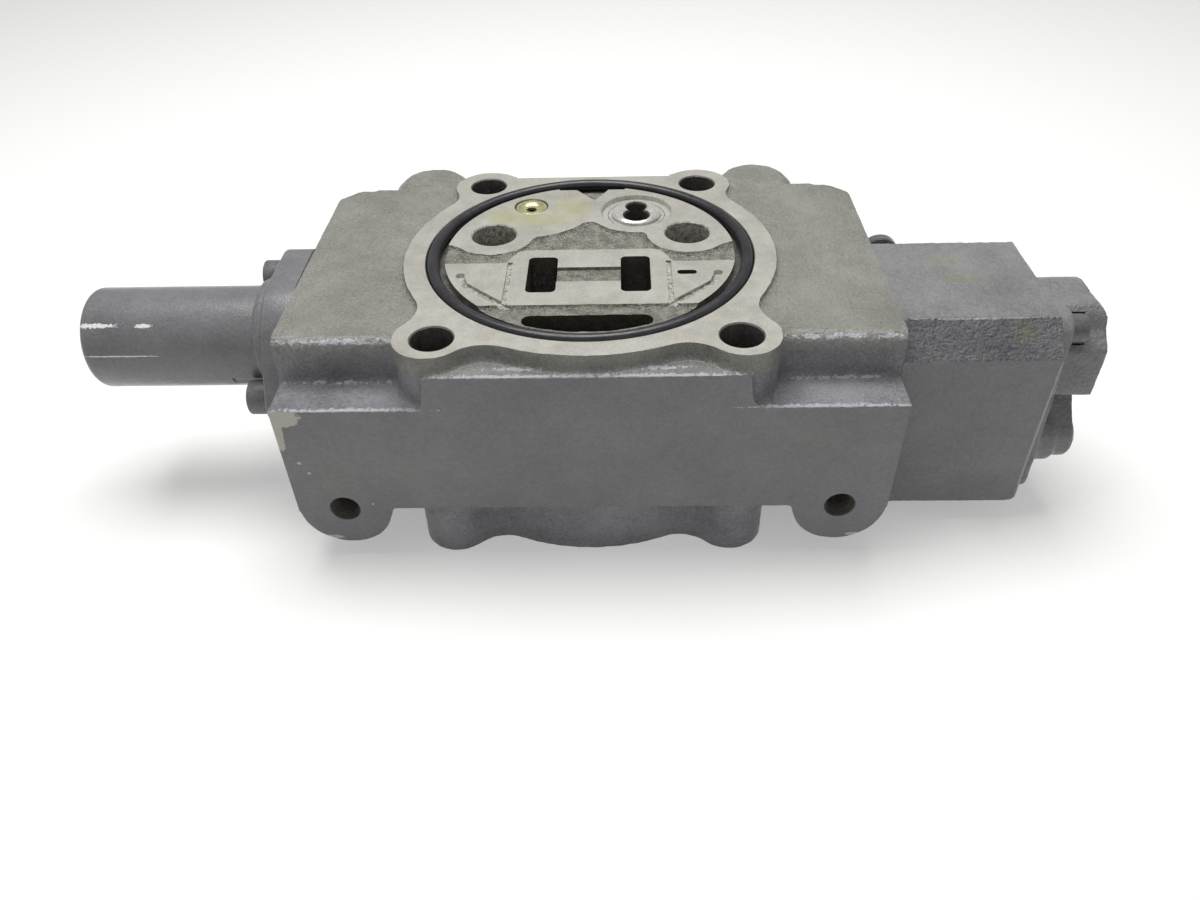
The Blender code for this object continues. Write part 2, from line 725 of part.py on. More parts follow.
def vertical(edge):
    """Say whether an edge runs along Z."""
    first, second = (vert.co for vert in edge.verts)
    return abs(first.z - second.z) > abs(first.x - second.x) + abs(first.y - second.y)


def back_corner(edge):
    """Say whether an edge is a vertical one at the back."""
    return vertical(edge) and edge.verts[0].co.y > 0


def top_edge(height):
    """Make a test for edges in the plane at a height."""
    def test(edge):
        return all(abs(vert.co.z - height * MM) < 0.00001 for vert in edge.verts)
    return test


def front_top_edge(edge):
    """Say whether an edge is the housing's top front one."""
    return top_edge(HOUSING_TOP_Z)(edge) and all(vert.co.y < HOUSING_FRONT_Y * MM + 0.00001
                                                 for vert in edge.verts)


def spool_bore():
    """Make the cutter for the spool bore, its chambers and the seal recess at each end."""
    bore = SPOOL_R + SPOOL_CLEARANCE
    seal_depth = SEAL_CORD + SEAT_GAP
    chambers = []
    for middle, half in ((PORT_LUMP_X, WORK_CHAMBER_HALF), (GALLERY_X, TANK_CHAMBER_HALF),
                         (FEED_X, FEED_CHAMBER_HALF)):
        chambers.append((middle - half, middle + half))
        chambers.append((-middle - half, -middle + half))
    chambers.append((-PUMP_CHAMBER_HALF, PUMP_CHAMBER_HALF))
    profile = [(0.0, RIGHT_FACE_X + PAST), (SEAL_OUTER_R, RIGHT_FACE_X + PAST),
               (SEAL_OUTER_R, RIGHT_FACE_X - seal_depth), (bore, RIGHT_FACE_X - seal_depth)]
    for low, high in sorted(chambers, reverse=True):
        profile += [(bore, high), (CHAMBER_R, high), (CHAMBER_R, low), (bore, low)]
    profile += [(bore, LEFT_FACE_X + seal_depth), (SEAL_OUTER_R, LEFT_FACE_X + seal_depth),
                (SEAL_OUTER_R, LEFT_FACE_X - PAST), (0.0, LEFT_FACE_X - PAST)]
    return turned("cut_spool_bore", profile, (0.0, SPOOL_Y, SPOOL_Z), "X", CUTTERS)


def mirrored(name, make):
    """Call a maker for the right and the left side."""
    return [make(name + tag, side) for tag, side in (("_right", 1), ("_left", -1))]


def face_cutters():
    """Make the cutters that open the sealing face."""
    top = SECTION_HEIGHT + PAST
    tools = [turned("cut_ring_groove",
                    [(RING_GROOVE_INNER_R, top), (RING_OUTER_R, top),
                     (RING_OUTER_R, SECTION_HEIGHT - RING_GROOVE_DEPTH),
                     (RING_GROOVE_INNER_R, SECTION_HEIGHT - RING_GROOVE_DEPTH)],
                    (0.0, 0.0, 0.0), "Z", CUTTERS, sides=FINE * 3 // 2, ring=True)]
    for tag, x, y in (("front", FRONT_BOLT_X, FRONT_BOLT_Y), ("back", BACK_BOLT_X, BACK_BOLT_Y)):
        tools += mirrored("cut_tie_bolt_" + tag, lambda name, side, x=x, y=y: rod(
            name, TIE_BOLT_HOLE_R, (side * x, y, -PAST), SECTION_HEIGHT + 2 * PAST, "Z", CUTTERS, SMALL))
    tools += mirrored("cut_gallery", lambda name, side: rod(
        name, GALLERY_R, (side * GALLERY_X, GALLERY_Y, -PAST), SECTION_HEIGHT + 2 * PAST, "Z", CUTTERS,
        24))
    tools.append(prism("cut_pump_port", [pump_port_outline()], -PAST, top, CUTTERS))
    lens_r = POCKET_R - SIDE_STEP
    lens_side = math.degrees(math.asin((LENS_HALF_X - SIDE_STEP) / lens_r))
    lens = [(SIDE_STEP - LENS_HALF_X, LENS_FRONT_Y - SIDE_STEP),
            (LENS_HALF_X - SIDE_STEP, LENS_FRONT_Y - SIDE_STEP)]
    lens += arc((0.0, 0.0), lens_r, 90 - lens_side, 90 + lens_side)
    tools.append(prism("cut_lens", [lens], SECTION_HEIGHT - LENS_DEPTH, top, CUTTERS))
    feed = [(FEED_INNER_X, FEED_FRONT_Y), (FEED_OUTER_X, FEED_FRONT_Y),
            (FEED_OUTER_X, FEED_BACK_Y), (FEED_INNER_X, FEED_BACK_Y)]
    for tag, side in (("right", 1), ("left", -1)):
        places = feed if side > 0 else [(-x, y) for x, y in reversed(feed)]
        tools.append(prism("cut_feed_" + tag, [rounded(places, FEED_CORNER_R)],
                           SPOOL_Z, top, CUTTERS))
    tools.append(box("cut_bridge", (-FEED_INNER_X - 1, BRIDGE_FRONT_Y, SECTION_HEIGHT - BRIDGE_DEPTH),
                     (FEED_INNER_X + 1, BRIDGE_BACK_Y, top), CUTTERS))
    score_floor = SECTION_HEIGHT - SCORE_GROOVE_DEPTH
    tools += mirrored("cut_score", lambda name, side: box(
        name, (side * MID_LAND_SHOULDER_X - SCORE_GROOVE_WIDTH / 2, SIDE_LAND_FRONT_Y - 1, score_floor),
        (side * MID_LAND_SHOULDER_X + SCORE_GROOVE_WIDTH / 2, SIDE_LAND_BACK_Y + 1, top), CUTTERS))
    drain_floor = SECTION_HEIGHT - DRAIN_GROOVE_DEPTH
    drain_end = (MID_LAND_SHOULDER_X - DRAIN_END_INSET_X, SIDE_LAND_FRONT_Y - DRAIN_END_PAST_Y)
    tools += mirrored("cut_drain_long", lambda name, side: prism(
        name, [slot((side * DRAIN_ELBOW[0], DRAIN_ELBOW[1]), (side * drain_end[0], drain_end[1]),
                    DRAIN_GROOVE_WIDTH)], drain_floor, top, CUTTERS))
    tools += mirrored("cut_drain_short", lambda name, side: prism(
        name, [slot((side * DRAIN_START[0], DRAIN_START[1]), (side * DRAIN_ELBOW[0], DRAIN_ELBOW[1]),
                    DRAIN_GROOVE_WIDTH - 2 * THIN_STEP)], drain_floor - THIN_STEP, top, CUTTERS))
    reach = (SENSE_SLOT_LENGTH - SENSE_SLOT_WIDTH) / 2
    tools.append(prism("cut_sense_slot",
                       [slot((SENSE_SLOT_X - reach, SENSE_SLOT_Y), (SENSE_SLOT_X + reach, SENSE_SLOT_Y),
                             SENSE_SLOT_WIDTH)], SECTION_HEIGHT - SENSE_SLOT_DEPTH, top, CUTTERS))
    tools.append(turned("cut_check_pocket",
                        [(0.0, top), (CHECK_MOUTH_R, top), (CHECK_MOUTH_R, CHECK_SEAT_TOP_Z),
                         (CHECK_SEAT_R, CHECK_SEAT_TOP_Z), (CHECK_SEAT_R, CHECK_SEAT_UNDER_Z - SEAT_GAP),
                         (CHECK_POCKET_R, CHECK_SEAT_UNDER_Z - SEAT_GAP),
                         (CHECK_POCKET_R, CHECK_FLOOR_Z), (0.0, CHECK_FLOOR_Z)],
                        (CHECK_X, CHECK_Y, 0.0), "Z", CUTTERS))
    tools.append(turned("cut_orifice",
                        [(0.0, top), (ORIFICE_SEAT_R, top),
                         (ORIFICE_SEAT_R, SECTION_HEIGHT - ORIFICE_SEAT_DEPTH),
                         (SIGNAL_GALLERY_R, SECTION_HEIGHT - ORIFICE_SEAT_DEPTH),
                         (SIGNAL_GALLERY_R, -PAST), (0.0, -PAST)],
                        (ORIFICE_X, ORIFICE_Y, 0.0), "Z", CUTTERS, sides=24))
    return tools


def passage_cutters():
    """Make the cutters for the inner drillings, work ports and threaded holes."""
    lump_back = PORT_LUMP_Y + PORT_LUMP_R + PAST
    tools = []
    tools += mirrored("cut_work_port", lambda name, side: turned(
        name, [(0.0, lump_back), (PORT_FACE_R, lump_back), (PORT_FACE_R, PORT_FACE_Y),
               (WORK_PORT_R, PORT_FACE_Y), (WORK_PORT_R, SPOOL_Y), (0.0, SPOOL_Y)],
        (side * PORT_LUMP_X, 0.0, SPOOL_Z), "Y", CUTTERS, sides=24))
    tools += mirrored("cut_tank_drill", lambda name, side: rod(
        name, TANK_DRILL_R, (side * GALLERY_X, SPOOL_Y, SPOOL_Z), GALLERY_Y - SPOOL_Y, "Y", CUTTERS,
        SMALL))
    tools.append(rod("cut_pump_drill", PUMP_DRILL_R, (0.0, PUMP_PORT_BACK_Y - 2, SPOOL_Z),
                     SPOOL_Y - PUMP_PORT_BACK_Y + 2, "Y", CUTTERS, SMALL))
    drill_z = CHECK_FLOOR_Z + CHECK_DRILL_R + CHECK_DRILL_RISE
    tools.append(rod("cut_check_drill", CHECK_DRILL_R, (CHECK_X, SPOOL_Y, drill_z), CHECK_Y - SPOOL_Y, "Y",
                     CUTTERS, SMALL))
    chamfer = EAR_MOUTH_R - EAR_THREAD_R
    tools += mirrored("cut_ear_thread", lambda name, side: turned(
        name, [(0.0, EAR_THREAD_DEPTH + DRILL_TIP), (EAR_THREAD_R, EAR_THREAD_DEPTH), (EAR_THREAD_R, chamfer),
               (EAR_MOUTH_R + PAST, -PAST), (0.0, -PAST)],
        (side * PLATE_EAR_X, PLATE_FRONT_Y, PLATE_EAR_Z), "Y", CUTTERS, sides=SMALL))
    for number, (y, z) in enumerate(CAP_SCREWS, 1):
        tools.append(rod(f"cut_cap_thread_{number}", CAP_SCREW_R + SEAT_GAP,
                         (LEFT_FACE_X - PAST, y, z), CAP_SCREW_GRIP + PAST + THREAD_RUNOUT, "X",
                         CUTTERS, SMALL))
    for number, (y, z) in enumerate(COVER_SCREW_PLACES, 1):
        tools.append(rod(f"cut_cover_thread_{number}", COVER_SCREW_R + SEAT_GAP,
                         (RIGHT_FACE_X - COVER_SCREW_GRIP - THREAD_RUNOUT, y, z),
                         COVER_SCREW_GRIP + THREAD_RUNOUT + PAST, "X",
                         CUTTERS, SMALL))
    return tools


def make_body():
    """Build the valve body casting."""
    flange = [flange_outline()]
    body = prism("valve_body", flange, 0.0, SECTION_HEIGHT, PART)
    housing = box("add_housing", (-HOUSING_HALF_X, HOUSING_FRONT_Y, HOUSING_UNDER_Z),
                  (HOUSING_HALF_X, HOUSING_BACK_Y, HOUSING_TOP_Z), CUTTERS,
                  rounds=((back_corner, HOUSING_BACK_ROUND, 4), (front_top_edge, HOUSING_FRONT_ROUND, 3)))
    plate = prism("add_plate", [plate_outline()], PLATE_FRONT_Y, HOUSING_FRONT_Y + PLATE_ROOT, CUTTERS, "Y")
    pad = box("add_block_pad", (RIGHT_FACE_X - BLOCK_PAD_LENGTH, BLOCK_PAD_FRONT_Y, BLOCK_PAD_UNDER_Z),
              (RIGHT_FACE_X - SIDE_STEP, BLOCK_PAD_BACK_Y, HOUSING_UNDER_Z + BLOCK_PAD_ROOT), CUTTERS)
    sweep = prism("add_tongue_sweep", [tongue_sweep_outline()], PLATE_SHOULDER_Z - TONGUE_SWEEP_ROOT,
                  TONGUE_TOP_Z - SIDE_STEP, CUTTERS)
    join(body, housing, plate, pad, sweep)
    lump_top = HOUSING_TOP_Z - SIDE_STEP
    lump_under = HOUSING_UNDER_Z + SIDE_STEP
    join(body, *mirrored("add_port_lump", lambda name, side: turned(
        name, [(0.0, lump_top), (PORT_LUMP_R - LUMP_ROUND, lump_top),
               (PORT_LUMP_R, lump_top - LUMP_ROUND), (PORT_LUMP_R, lump_under + LUMP_ROUND),
               (PORT_LUMP_R - LUMP_ROUND, lump_under), (0.0, lump_under)],
        (side * PORT_LUMP_X, PORT_LUMP_Y, 0.0), "Z", CUTTERS, sides=24)))
    flat_half = BACK_BOLT_X - BACK_EAR_R + BACK_FLAT_INSET
    cut(body, box("cut_back_flat", (-flat_half, BACK_FLAT_Y, -PAST),
                  (flat_half, BACK_FLAT_Y + 4 * PAST, SECTION_HEIGHT + PAST), CUTTERS))
    cut(body, rod("cut_pocket", POCKET_R, (0.0, 0.0, POCKET_FLOOR_Z), POCKET_DEPTH + PAST, "Z", CUTTERS,
                  FINE))
    land_foot = POCKET_FLOOR_Z - LAND_ROOT
    join(body, prism("add_back_land", [back_land_outline()], land_foot, SECTION_HEIGHT, CUTTERS),
         prism("add_mid_land", [mid_land_outline()], land_foot, SECTION_HEIGHT, CUTTERS))
    cut(body, *face_cutters())
    cut(body, spool_bore())
    cut(body, *passage_cutters())
    own_material(body, PAINT)
    return body


def torus(name, outer_r, cord, place, axis, sides, around=6):
    """Make a seal ring with a round section, its outer edge at a radius."""
    section = [(outer_r - cord / 2 + cord / 2 * math.sin(2 * math.pi * i / around),
                cord / 2 * math.cos(2 * math.pi * i / around)) for i in range(around)]
    made = turned(name, section, place, axis, PART, sides=sides, ring=True)
    own_material(made, BLACK_RUBBER)
    return made


def make_seals():
    """Build the face O-ring and the three small seals."""
    floor = SECTION_HEIGHT - RING_GROOVE_DEPTH
    torus("face_oring", RING_OUTER_R - SEAT_GAP, RING_CORD,
          (0.0, 0.0, floor + SEAT_GAP + RING_CORD / 2), "Z", FINE)
    outer = SEAL_OUTER_R - SEAT_GAP
    for name, x in (("spring_cap_oring", LEFT_FACE_X + SEAL_CORD / 2),
                    ("end_block_oring", RIGHT_FACE_X - SEAL_CORD / 2),
                    ("end_cover_oring", BLOCK_END_X - SEAL_CORD / 2)):
        torus(name, outer, SEAL_CORD, (x, SPOOL_Y, SPOOL_Z), "X", SMALL)


def make_orifice():
    """Build the dished orifice insert."""
    seat = SECTION_HEIGHT - ORIFICE_SEAT_DEPTH + SEAT_GAP
    top = SECTION_HEIGHT - FACE_SETBACK
    outer = ORIFICE_SEAT_R - SEAT_GAP
    made = turned("orifice_insert",
                  [(ORIFICE_HOLE_R, seat + ORIFICE_FLOOR), (outer - ORIFICE_RIM, top), (outer, top),
                   (outer, seat), (ORIFICE_HOLE_R, seat)],
                  (ORIFICE_X, ORIFICE_Y, 0.0), "Z", PART, sides=24, ring=True)
    own_material(made, ZINC)


def make_check():
    """Build the load-check seat, poppet and spring."""
    body_r = CHECK_SEAT_R - SEAT_GAP
    top = SECTION_HEIGHT - FACE_SETBACK
    seat = turned("check_seat",
                  [(0.0, top), (CHECK_PLUG_R - CHECK_PLUG_BEVEL, top),
                   (CHECK_PLUG_R, top - CHECK_PLUG_BEVEL), (CHECK_PLUG_R, CHECK_SEAT_TOP_Z),
                   (body_r, CHECK_SEAT_TOP_Z), (body_r, CHECK_SEAT_UNDER_Z), (0.0, CHECK_SEAT_UNDER_Z)],
                  (CHECK_X, CHECK_Y, 0.0), "Z", PART)
    for tag, radius, shift in (("back", CHECK_HOLE_BACK_R, CHECK_HOLE_STEP),
                               ("front", CHECK_HOLE_FRONT_R, -CHECK_HOLE_STEP)):
        cut(seat, rod("cut_check_hole_" + tag, radius,
                      (CHECK_X, CHECK_Y + shift, CHECK_SEAT_UNDER_Z - PAST),
                      CHECK_SEAT_LENGTH + CHECK_MOUTH_DEPTH + 2 * PAST, "Z", CUTTERS, 16))
    own_material(seat, STEEL)
    crown = POPPET_LENGTH - POPPET_CROWN
    poppet = turned("check_poppet",
                    [(0.0, POPPET_LENGTH), (POPPET_R - POPPET_BEVEL, POPPET_LENGTH),
                     (POPPET_R, POPPET_LENGTH - POPPET_BEVEL),
                     (POPPET_R, 0.0), (POPPET_BORE_R, 0.0), (POPPET_BORE_R, crown), (0.0, crown)],
                    (CHECK_X, CHECK_Y, POPPET_UNDER_Z), "Z", PART, sides=24)
    own_material(poppet, STEEL)
    low = CHECK_FLOOR_Z + SEAT_GAP
    high = POPPET_UNDER_Z + crown - SEAT_GAP
    coil("check_spring", POPPET_BORE_R - SEAT_GAP - CHECK_SPRING_WIRE_R, CHECK_SPRING_WIRE_R,
         CHECK_SPRING_TURNS, (CHECK_X, CHECK_Y, low), "Z", high - low)


def coil_inside(radius, wire):
    """Give the radius of a hub that fits inside a spring."""
    return radius * math.cos(math.pi / COIL_POINTS) - wire - SEAT_GAP


def coil(name, radius, wire, turns, place, axis, length):
    """Wind a round wire spring with closed ends that starts at a place and runs along an axis."""
    curve = bpy.data.curves.new(name, "CURVE")
    curve.dimensions = "3D"
    curve.bevel_depth = wire * MM
    curve.bevel_resolution = 2
    curve.use_fill_caps = True
    count = turns * COIL_POINTS + 1
    spline = curve.splines.new("POLY")
    spline.points.add(count - 1)
    closed = 2.05 * wire
    rise = length - 2 * wire
    active = rise - 2 * closed
    for i, point in enumerate(spline.points):
        turn = i / COIL_POINTS
        if turn < 1:
            height = closed * turn
        elif turn > turns - 1:
            height = rise - closed * (turns - turn)
        else:
            height = closed + active * (turn - 1) / (turns - 2)
        swing = 2 * math.pi * turn
        point.co = (radius * math.cos(swing) * MM, radius * math.sin(swing) * MM,
                    (height + wire) * MM, 1.0)
    guide = bpy.data.objects.new(name + "_guide", curve)
    guide.location = Vector(place) * MM
    guide.rotation_euler = TURN_TO[axis]
    PART.objects.link(guide)
    made = curve_to_mesh(name, guide, PART)
    own_material(made, SPRING_STEEL)
    return made


def make_spool():
    """Build the main spool with its lands and a threaded hole in each end."""
    waists = []
    for middle, half in ((PORT_LUMP_X, WORK_CHAMBER_HALF), (FEED_X, FEED_CHAMBER_HALF)):
        waists.append((middle - half, middle + half))
        waists.append((-middle - half, -middle + half))
    bevel = SPOOL_BEVEL
    profile = [(0.0, SPOOL_END_X), (SPOOL_R - bevel, SPOOL_END_X), (SPOOL_R, SPOOL_END_X - bevel)]
    for low, high in sorted(waists, reverse=True):
        profile += [(SPOOL_R, high), (SPOOL_WAIST_R, high - bevel), (SPOOL_WAIST_R, low + bevel),
                    (SPOOL_R, low)]
    profile += [(SPOOL_R, bevel - SPOOL_END_X), (SPOOL_R - bevel, -SPOOL_END_X), (0.0, -SPOOL_END_X)]
    spool = turned("main_spool", profile, (0.0, SPOOL_Y, SPOOL_Z), "X", PART)
    hole = SEAT_SCREW_R + SEAT_GAP
    depth = SEAT_SCREW_LENGTH - SEAT_WASHER + THREAD_RUNOUT
    for tag, start in (("left", -SPOOL_END_X - PAST), ("right", SPOOL_END_X - depth)):
        cut(spool, rod("cut_spool_thread_" + tag, hole, (start, SPOOL_Y, SPOOL_Z), depth + PAST, "X",
                       CUTTERS, 16))
    own_material(spool, STEEL)


def cap_screw(name, head_r, shank_r, grip, place, away, socket):
    """Build a socket-head cap screw whose head's seat is at a place; away is 1 or -1 along X."""
    head = 2 * shank_r
    outline = [(0.0, head), (head_r - SCREW_BEVEL, head), (head_r, head - SCREW_BEVEL), (head_r, 0.0),
               (shank_r, 0.0), (shank_r, -grip), (0.0, -grip)]
    if away < 0:
        outline = [(radius, -height) for radius, height in reversed(outline)]
    made = turned(name, outline, place, "X", PART, sides=SCREW_SIDES)
    deep = head * SCREW_SOCKET_SHARE
    start = place[0] + head - deep if away > 0 else place[0] - head - PAST
    cut(made, rod("cut_socket_" + name, hexagon(socket), (start, place[1], place[2]), deep + PAST, "X",
                  CUTTERS, 6))
    own_material(made, SCREW_STEEL)
    return made


def make_seats():
    """Build a spring seat at each end of the spool, with the screw that holds it, and both springs."""
    for tag, side in (("left", -1), ("right", 1)):
        hub_r = coil_inside(SPRING_COIL_R, SPRING_WIRE_R)
        outline = [(SEAT_SCREW_R + SEAT_GAP, SEAT_WASHER + SEAT_LIP),
                   (hub_r - SEAT_BEVEL, SEAT_WASHER + SEAT_LIP),
                   (hub_r, SEAT_WASHER + SEAT_LIP - SEAT_BEVEL), (hub_r, SEAT_WASHER),
                   (SEAT_FLANGE_R, SEAT_WASHER),
                   (SEAT_FLANGE_R, 0.0), (SEAT_SCREW_R + SEAT_GAP, 0.0)]
        if side < 0:
            outline = [(radius, -height) for radius, height in reversed(outline)]
        seat = turned(tag + "_spring_seat", outline, (side * SEAT_OUT, SPOOL_Y, SPOOL_Z), "X", PART,
                      sides=24, ring=True)
        own_material(seat, STEEL)
        head_seat = SEAT_OUT + SEAT_WASHER + SEAT_LIP + SEAT_GAP
        cap_screw(tag + "_seat_screw", SEAT_SCREW_HEAD_R, SEAT_SCREW_R, SEAT_SCREW_LENGTH + SEAT_LIP,
                  (side * head_seat, SPOOL_Y, SPOOL_Z), side, SEAT_SCREW_SOCKET)
    near = SEAT_FACE + SEAT_GAP
    left_length = -CAP_FLOOR_X - SEAT_GAP - near
    coil("left_spring", SPRING_COIL_R, SPRING_WIRE_R, LEFT_SPRING_TURNS,
         (CAP_FLOOR_X + SEAT_GAP, SPOOL_Y, SPOOL_Z), "X", left_length)
    right_length = COVER_FLOOR_X - SEAT_GAP - near
    coil("right_spring", SPRING_COIL_R, SPRING_WIRE_R, RIGHT_SPRING_TURNS,
         (near, SPOOL_Y, SPOOL_Z), "X", right_length)


def tangent_hull(circles, step=ARC_STEP):
    """Give the outline of a belt around circles that are listed counter-clockwise."""
    outline = []
    count = len(circles)
    for i in range(count):
        before, here, after = circles[i - 1], circles[i], circles[(i + 1) % count]
        first = belt_angle(before, here)
        last = belt_angle(here, after)
        while last < first:
            last += 360.0
        outline += arc(here[0], here[1], first, last, step)
    return outline


def belt_angle(first, second):
    """Give the direction, seen from both centres, in which their outer right-hand belt touches."""
    gap = Vector(second[0]) - Vector(first[0])
    tilt = math.degrees(math.acos((first[1] - second[1]) / gap.length))
    return bearing(first[0], second[0]) - tilt


def make_spring_cap():
    """Build the tubular spring cap with its two-lobe flange and its two screws."""
    (top_y, top_z), (low_y, low_z) = CAP_SCREWS
    centre = (SPOOL_Y, SPOOL_Z)
    ears = [(centre, CAP_DISC_R), ((top_y, top_z), CAP_EAR_R), (centre, CAP_DISC_R),
            ((low_y, low_z), CAP_EAR_R)]
    cap = prism("spring_cap", [tangent_hull(ears)], CAP_FLANGE_END_X, CAP_FACE_X, PART, "X")
    hub_end = CAP_FLANGE_END_X - CAP_HUB_LENGTH
    tube = turned("add_cap_tube",
                  [(0.0, CAP_FACE_X - CAP_FILLET), (CAP_TUBE_R - CAP_FILLET, CAP_FACE_X - CAP_FILLET),
                   (CAP_HUB_R, CAP_FLANGE_END_X), (CAP_TUBE_R + CAP_FILLET, CAP_FLANGE_END_X - CAP_FILLET),
                   (CAP_TUBE_R, hub_end), (CAP_TUBE_R, CAP_END_X + CAP_END_ROUND),
                   (CAP_TUBE_R - 0.3 * CAP_END_ROUND, CAP_END_X + 0.3 * CAP_END_ROUND),
                   (CAP_TUBE_R - CAP_END_ROUND, CAP_END_X), (0.0, CAP_END_X)],
                  (0.0, SPOOL_Y, SPOOL_Z), "X", CUTTERS, sides=FINE)
    join(cap, tube)
    cut(cap, rod("cut_cap_bore", CAP_BORE_R, (CAP_FLOOR_X, SPOOL_Y, SPOOL_Z),
                 CAP_FACE_X - CAP_FLOOR_X + PAST, "X", CUTTERS))
    for number, (y, z) in enumerate(CAP_SCREWS, 1):
        cut(cap, rod(f"cut_cap_hole_{number}", CAP_SCREW_R + SCREW_CLEARANCE,
                     (CAP_FLANGE_END_X - 4 * PAST, y, z), CAP_FLANGE_THICKNESS + 5 * PAST, "X", CUTTERS,
                     SMALL))
        cut(cap, rod(f"cut_cap_spot_{number}", CAP_SCREW_HEAD_R + CAP_SPOT_MARGIN,
                     (CAP_FLANGE_END_X - 4 * PAST, y, z), 4 * PAST - THIN_STEP, "X", CUTTERS, SMALL))
        cap_screw(f"spring_cap_screw_{number}", CAP_SCREW_HEAD_R, CAP_SCREW_R,
                  CAP_FLANGE_THICKNESS + CAP_SCREW_GRIP, (CAP_FLANGE_END_X - SEAT_GAP, y, z), -1,
                  CAP_SCREW_SOCKET)
    own_material(cap, PAINT)


def block_outline():
    """Give the end block's section across X."""
    return [(BLOCK_FRONT_Y + BLOCK_FOOT_CHAMFER, BLOCK_UNDER_Z),
            (BLOCK_BACK_Y - BLOCK_FOOT_CHAMFER, BLOCK_UNDER_Z),
            (BLOCK_BACK_Y, BLOCK_UNDER_Z + BLOCK_FOOT_CHAMFER),
            (BLOCK_BACK_Y, BLOCK_TOP_Z - BLOCK_CHAMFER_Z),
            (BLOCK_BACK_Y - BLOCK_CHAMFER_Y, BLOCK_TOP_Z),
            (BLOCK_FRONT_Y + BLOCK_CHAMFER_Y, BLOCK_TOP_Z),
            (BLOCK_FRONT_Y, BLOCK_TOP_Z - BLOCK_CHAMFER_Z),
            (BLOCK_FRONT_Y, BLOCK_UNDER_Z + BLOCK_FOOT_CHAMFER)]


def make_block():
    """Build the end block with the spool-end chamber, the selector bore and a plugged drilling."""
    section = rounded(block_outline(), BLOCK_EDGE_ROUND, 45.0)
    block = prism("end_block", [section], BLOCK_X, BLOCK_END_X, PART, "X")
    corner = (BLOCK_END_X - BLOCK_CORNER_ROUND, BLOCK_UNDER_Z + BLOCK_CORNER_ROUND)
    nose = arc(corner, BLOCK_CORNER_ROUND, 0, -90)
    nose += [(corner[0], BLOCK_UNDER_Z - PAST), (BLOCK_END_X + PAST, BLOCK_UNDER_Z - PAST),
             (BLOCK_END_X + PAST, corner[1])]
    cut(block, prism("cut_block_corner", [nose], BLOCK_FRONT_Y - PAST, BLOCK_BACK_Y + PAST, CUTTERS, "Y"))
    seal_depth = SEAL_CORD + SEAT_GAP
    cut(block, turned("cut_block_bore",
                      [(0.0, BLOCK_END_X + PAST), (SEAL_OUTER_R, BLOCK_END_X + PAST),
                       (SEAL_OUTER_R, BLOCK_END_X - seal_depth), (CAP_BORE_R, BLOCK_END_X - seal_depth),
                       (CAP_BORE_R, BLOCK_X - PAST), (0.0, BLOCK_X - PAST)],
                      (0.0, SPOOL_Y, SPOOL_Z), "X", CUTTERS))
    cut(block, turned("cut_selector_bore",
                      [(0.0, BLOCK_END_X + PAST), (SELECTOR_ROOM_R, BLOCK_END_X + PAST),
                       (SELECTOR_ROOM_R, BLOCK_END_X - SELECTOR_COLLAR_ROOM),
                       (SELECTOR_R + SPOOL_CLEARANCE, BLOCK_END_X - SELECTOR_COLLAR_ROOM),
                       (SELECTOR_R + SPOOL_CLEARANCE, BLOCK_END_X - SELECTOR_DEPTH),
                       (0.0, BLOCK_END_X - SELECTOR_DEPTH)],
                      (0.0, SELECTOR_Y, SELECTOR_Z), "X", CUTTERS, sides=SMALL))
    drill_y = (SPOOL_Y - CAP_BORE_R + SELECTOR_Y + SELECTOR_R) / 2
    cut(block, rod("cut_selector_feed", SELECTOR_FEED_R,
                   (BLOCK_END_X - SELECTOR_DEPTH + SELECTOR_FEED_INSET, drill_y, SELECTOR_Z),
                   SPOOL_Z - SELECTOR_Z, "Z", CUTTERS, 12))
    plug_depth = BLOCK_BACK_Y - SPOOL_Y - CAP_BORE_R / 2
    cut(block, rod("cut_plug_drill", BLOCK_PLUG_THREAD_R + SEAT_GAP,
                   (BLOCK_PLUG_X, BLOCK_BACK_Y - plug_depth, BLOCK_PLUG_Z), plug_depth + PAST, "Y", CUTTERS,
                   SMALL))
    for number, (y, z) in enumerate(COVER_SCREW_PLACES, 1):
        cut(block, rod(f"cut_block_hole_{number}", COVER_SCREW_R + SCREW_CLEARANCE,
                       (BLOCK_X - PAST, y, z), BLOCK_LENGTH + 2 * PAST, "X", CUTTERS, 16))
    own_material(block, PAINT)
    plug = turned("block_plug",
                  [(0.0, BLOCK_PLUG_HEAD), (BLOCK_PLUG_HEAD_R - BLOCK_PLUG_BEVEL, BLOCK_PLUG_HEAD),
                   (BLOCK_PLUG_HEAD_R, BLOCK_PLUG_HEAD - BLOCK_PLUG_BEVEL), (BLOCK_PLUG_HEAD_R, 0.0),
                   (BLOCK_PLUG_THREAD_R, 0.0), (BLOCK_PLUG_THREAD_R, -BLOCK_PLUG_THREAD),
                   (0.0, -BLOCK_PLUG_THREAD)],
                  (BLOCK_PLUG_X, BLOCK_BACK_Y + SEAT_GAP, BLOCK_PLUG_Z), "Y", PART, sides=SMALL)
    cut(plug, rod("cut_plug_socket", hexagon(BLOCK_PLUG_SOCKET),
                  (BLOCK_PLUG_X, BLOCK_BACK_Y + BLOCK_PLUG_HEAD - BLOCK_PLUG_SOCKET_DEPTH, BLOCK_PLUG_Z),
                  BLOCK_PLUG_SOCKET_DEPTH + PAST, "Y", CUTTERS, 6))
    own_material(plug, SCREW_STEEL)


